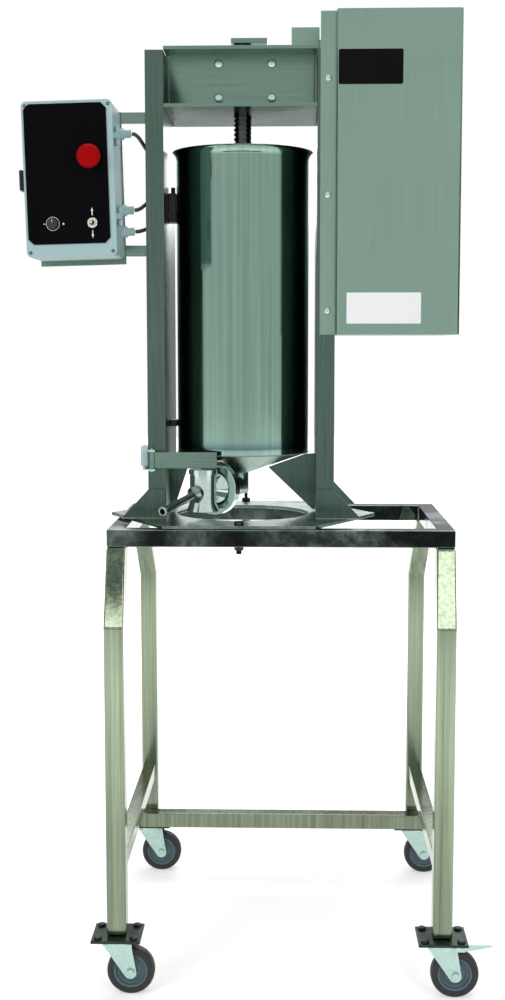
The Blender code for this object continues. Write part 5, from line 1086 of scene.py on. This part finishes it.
turned(
    "stop_collar", collar, stop_seat, outwards, collar_grey, "lid",
    count=48, edge=0.0004, ring=True,
)


# Toggle switch
# A small lever with a ball foot in a threaded bush with its nut, for up and down.
# Both are plated and polished.
lever_steel = steel(
    "lever_steel", (0.50, 0.50, 0.42), (0.84, 0.84, 0.74),
    rough=0.16, across=200.0, up=200.0, depth=0.05, smear=0.2,
)
softened("toggle_lever", lever_steel, edge=0.0003)
bush = [
    (0.0042, 0.0), (0.0086, 0.0), (0.0086, 0.0020), (0.0080, 0.0026),
    (0.0064, 0.0026), (0.0060, 0.0032), (0.0064, 0.0038), (0.0060, 0.0044),
    (0.0064, 0.0050), (0.0062, 0.0061), (0.0042, 0.0061),
]
toggle_seat = on_lid(toggle_u, panel_y, toggle_w)
turned(
    "toggle_bush", bush, toggle_seat, outwards, lever_steel, "lid",
    count=36, ring=True,
)


# Speed knob
# A small black knob with a fluted skirt and a white pointer line on its cap. It is
# pushed onto the spindle of the control behind the panel.
knob_black = moulded(
    "knob_black", (0.010, 0.010, 0.011), (0.030, 0.030, 0.032),
    rough=0.40, scale=700.0, depth=0.2, wear=0.2,
)
knob_seat = on_lid(knob_u, panel_y, knob_w)
flutes = 24
knob = bmesh.new()
rows = []
for radius, out, wave in (
    (0.0100, 0.0003, 0.0), (0.0100, 0.0020, 0.0004),
    (0.0096, 0.0082, 0.0004), (0.0080, 0.0099, 0.0),
):
    row = []
    for k in range(flutes * 4):
        t = 2.0 * math.pi * k / (flutes * 4)
        r = radius - wave * (0.5 + 0.5 * math.cos(flutes * t))
        row.append(knob.verts.new(knob_seat + Vector((r * math.cos(t), -out, r * math.sin(t)))))
    rows.append(row)
for low, high in zip(rows, rows[1:]):
    walls(knob, low, high)
knob.faces.new(rows[0])
knob.faces.new(rows[-1])
bmesh.ops.recalc_face_normals(knob, faces=knob.faces)
settle("knob_cap", knob, knob_black, "speed_knob", 0.0, ("speed_knob",))
pointer = bar(knob_u - 0.0004, knob_u + 0.0004, knob_w + 0.0020, knob_w + 0.0076)
lid_marks(
    "knob_pointer", [pointer], panel_y - 0.0098, panel_y - 0.0100, print_white,
    body="speed_knob",
)


# Lid latch
# A black plastic catch on the left edge of the lid. It turns out of the way to free
# the lid.
latch_black = moulded(
    "latch_black", (0.008, 0.008, 0.009), (0.022, 0.022, 0.024),
    rough=0.42, scale=600.0, depth=0.3, wear=0.2, gloss=0.2,
)
softened("lid_latch", latch_black, edge=0.0016)


# Box leads
# Three short black leads come out of the box's glands and go straight into the post,
# so both their ends are held and none hangs free.
lead_rubber = moulded(
    "lead_rubber", (0.010, 0.010, 0.011), (0.028, 0.028, 0.030),
    rough=0.48, scale=500.0, depth=0.2, wear=0.2,
)
for label in ("box_cable_1", "box_cable_2", "box_cable_3"):
    softened(label, lead_rubber, edge=0.0002)
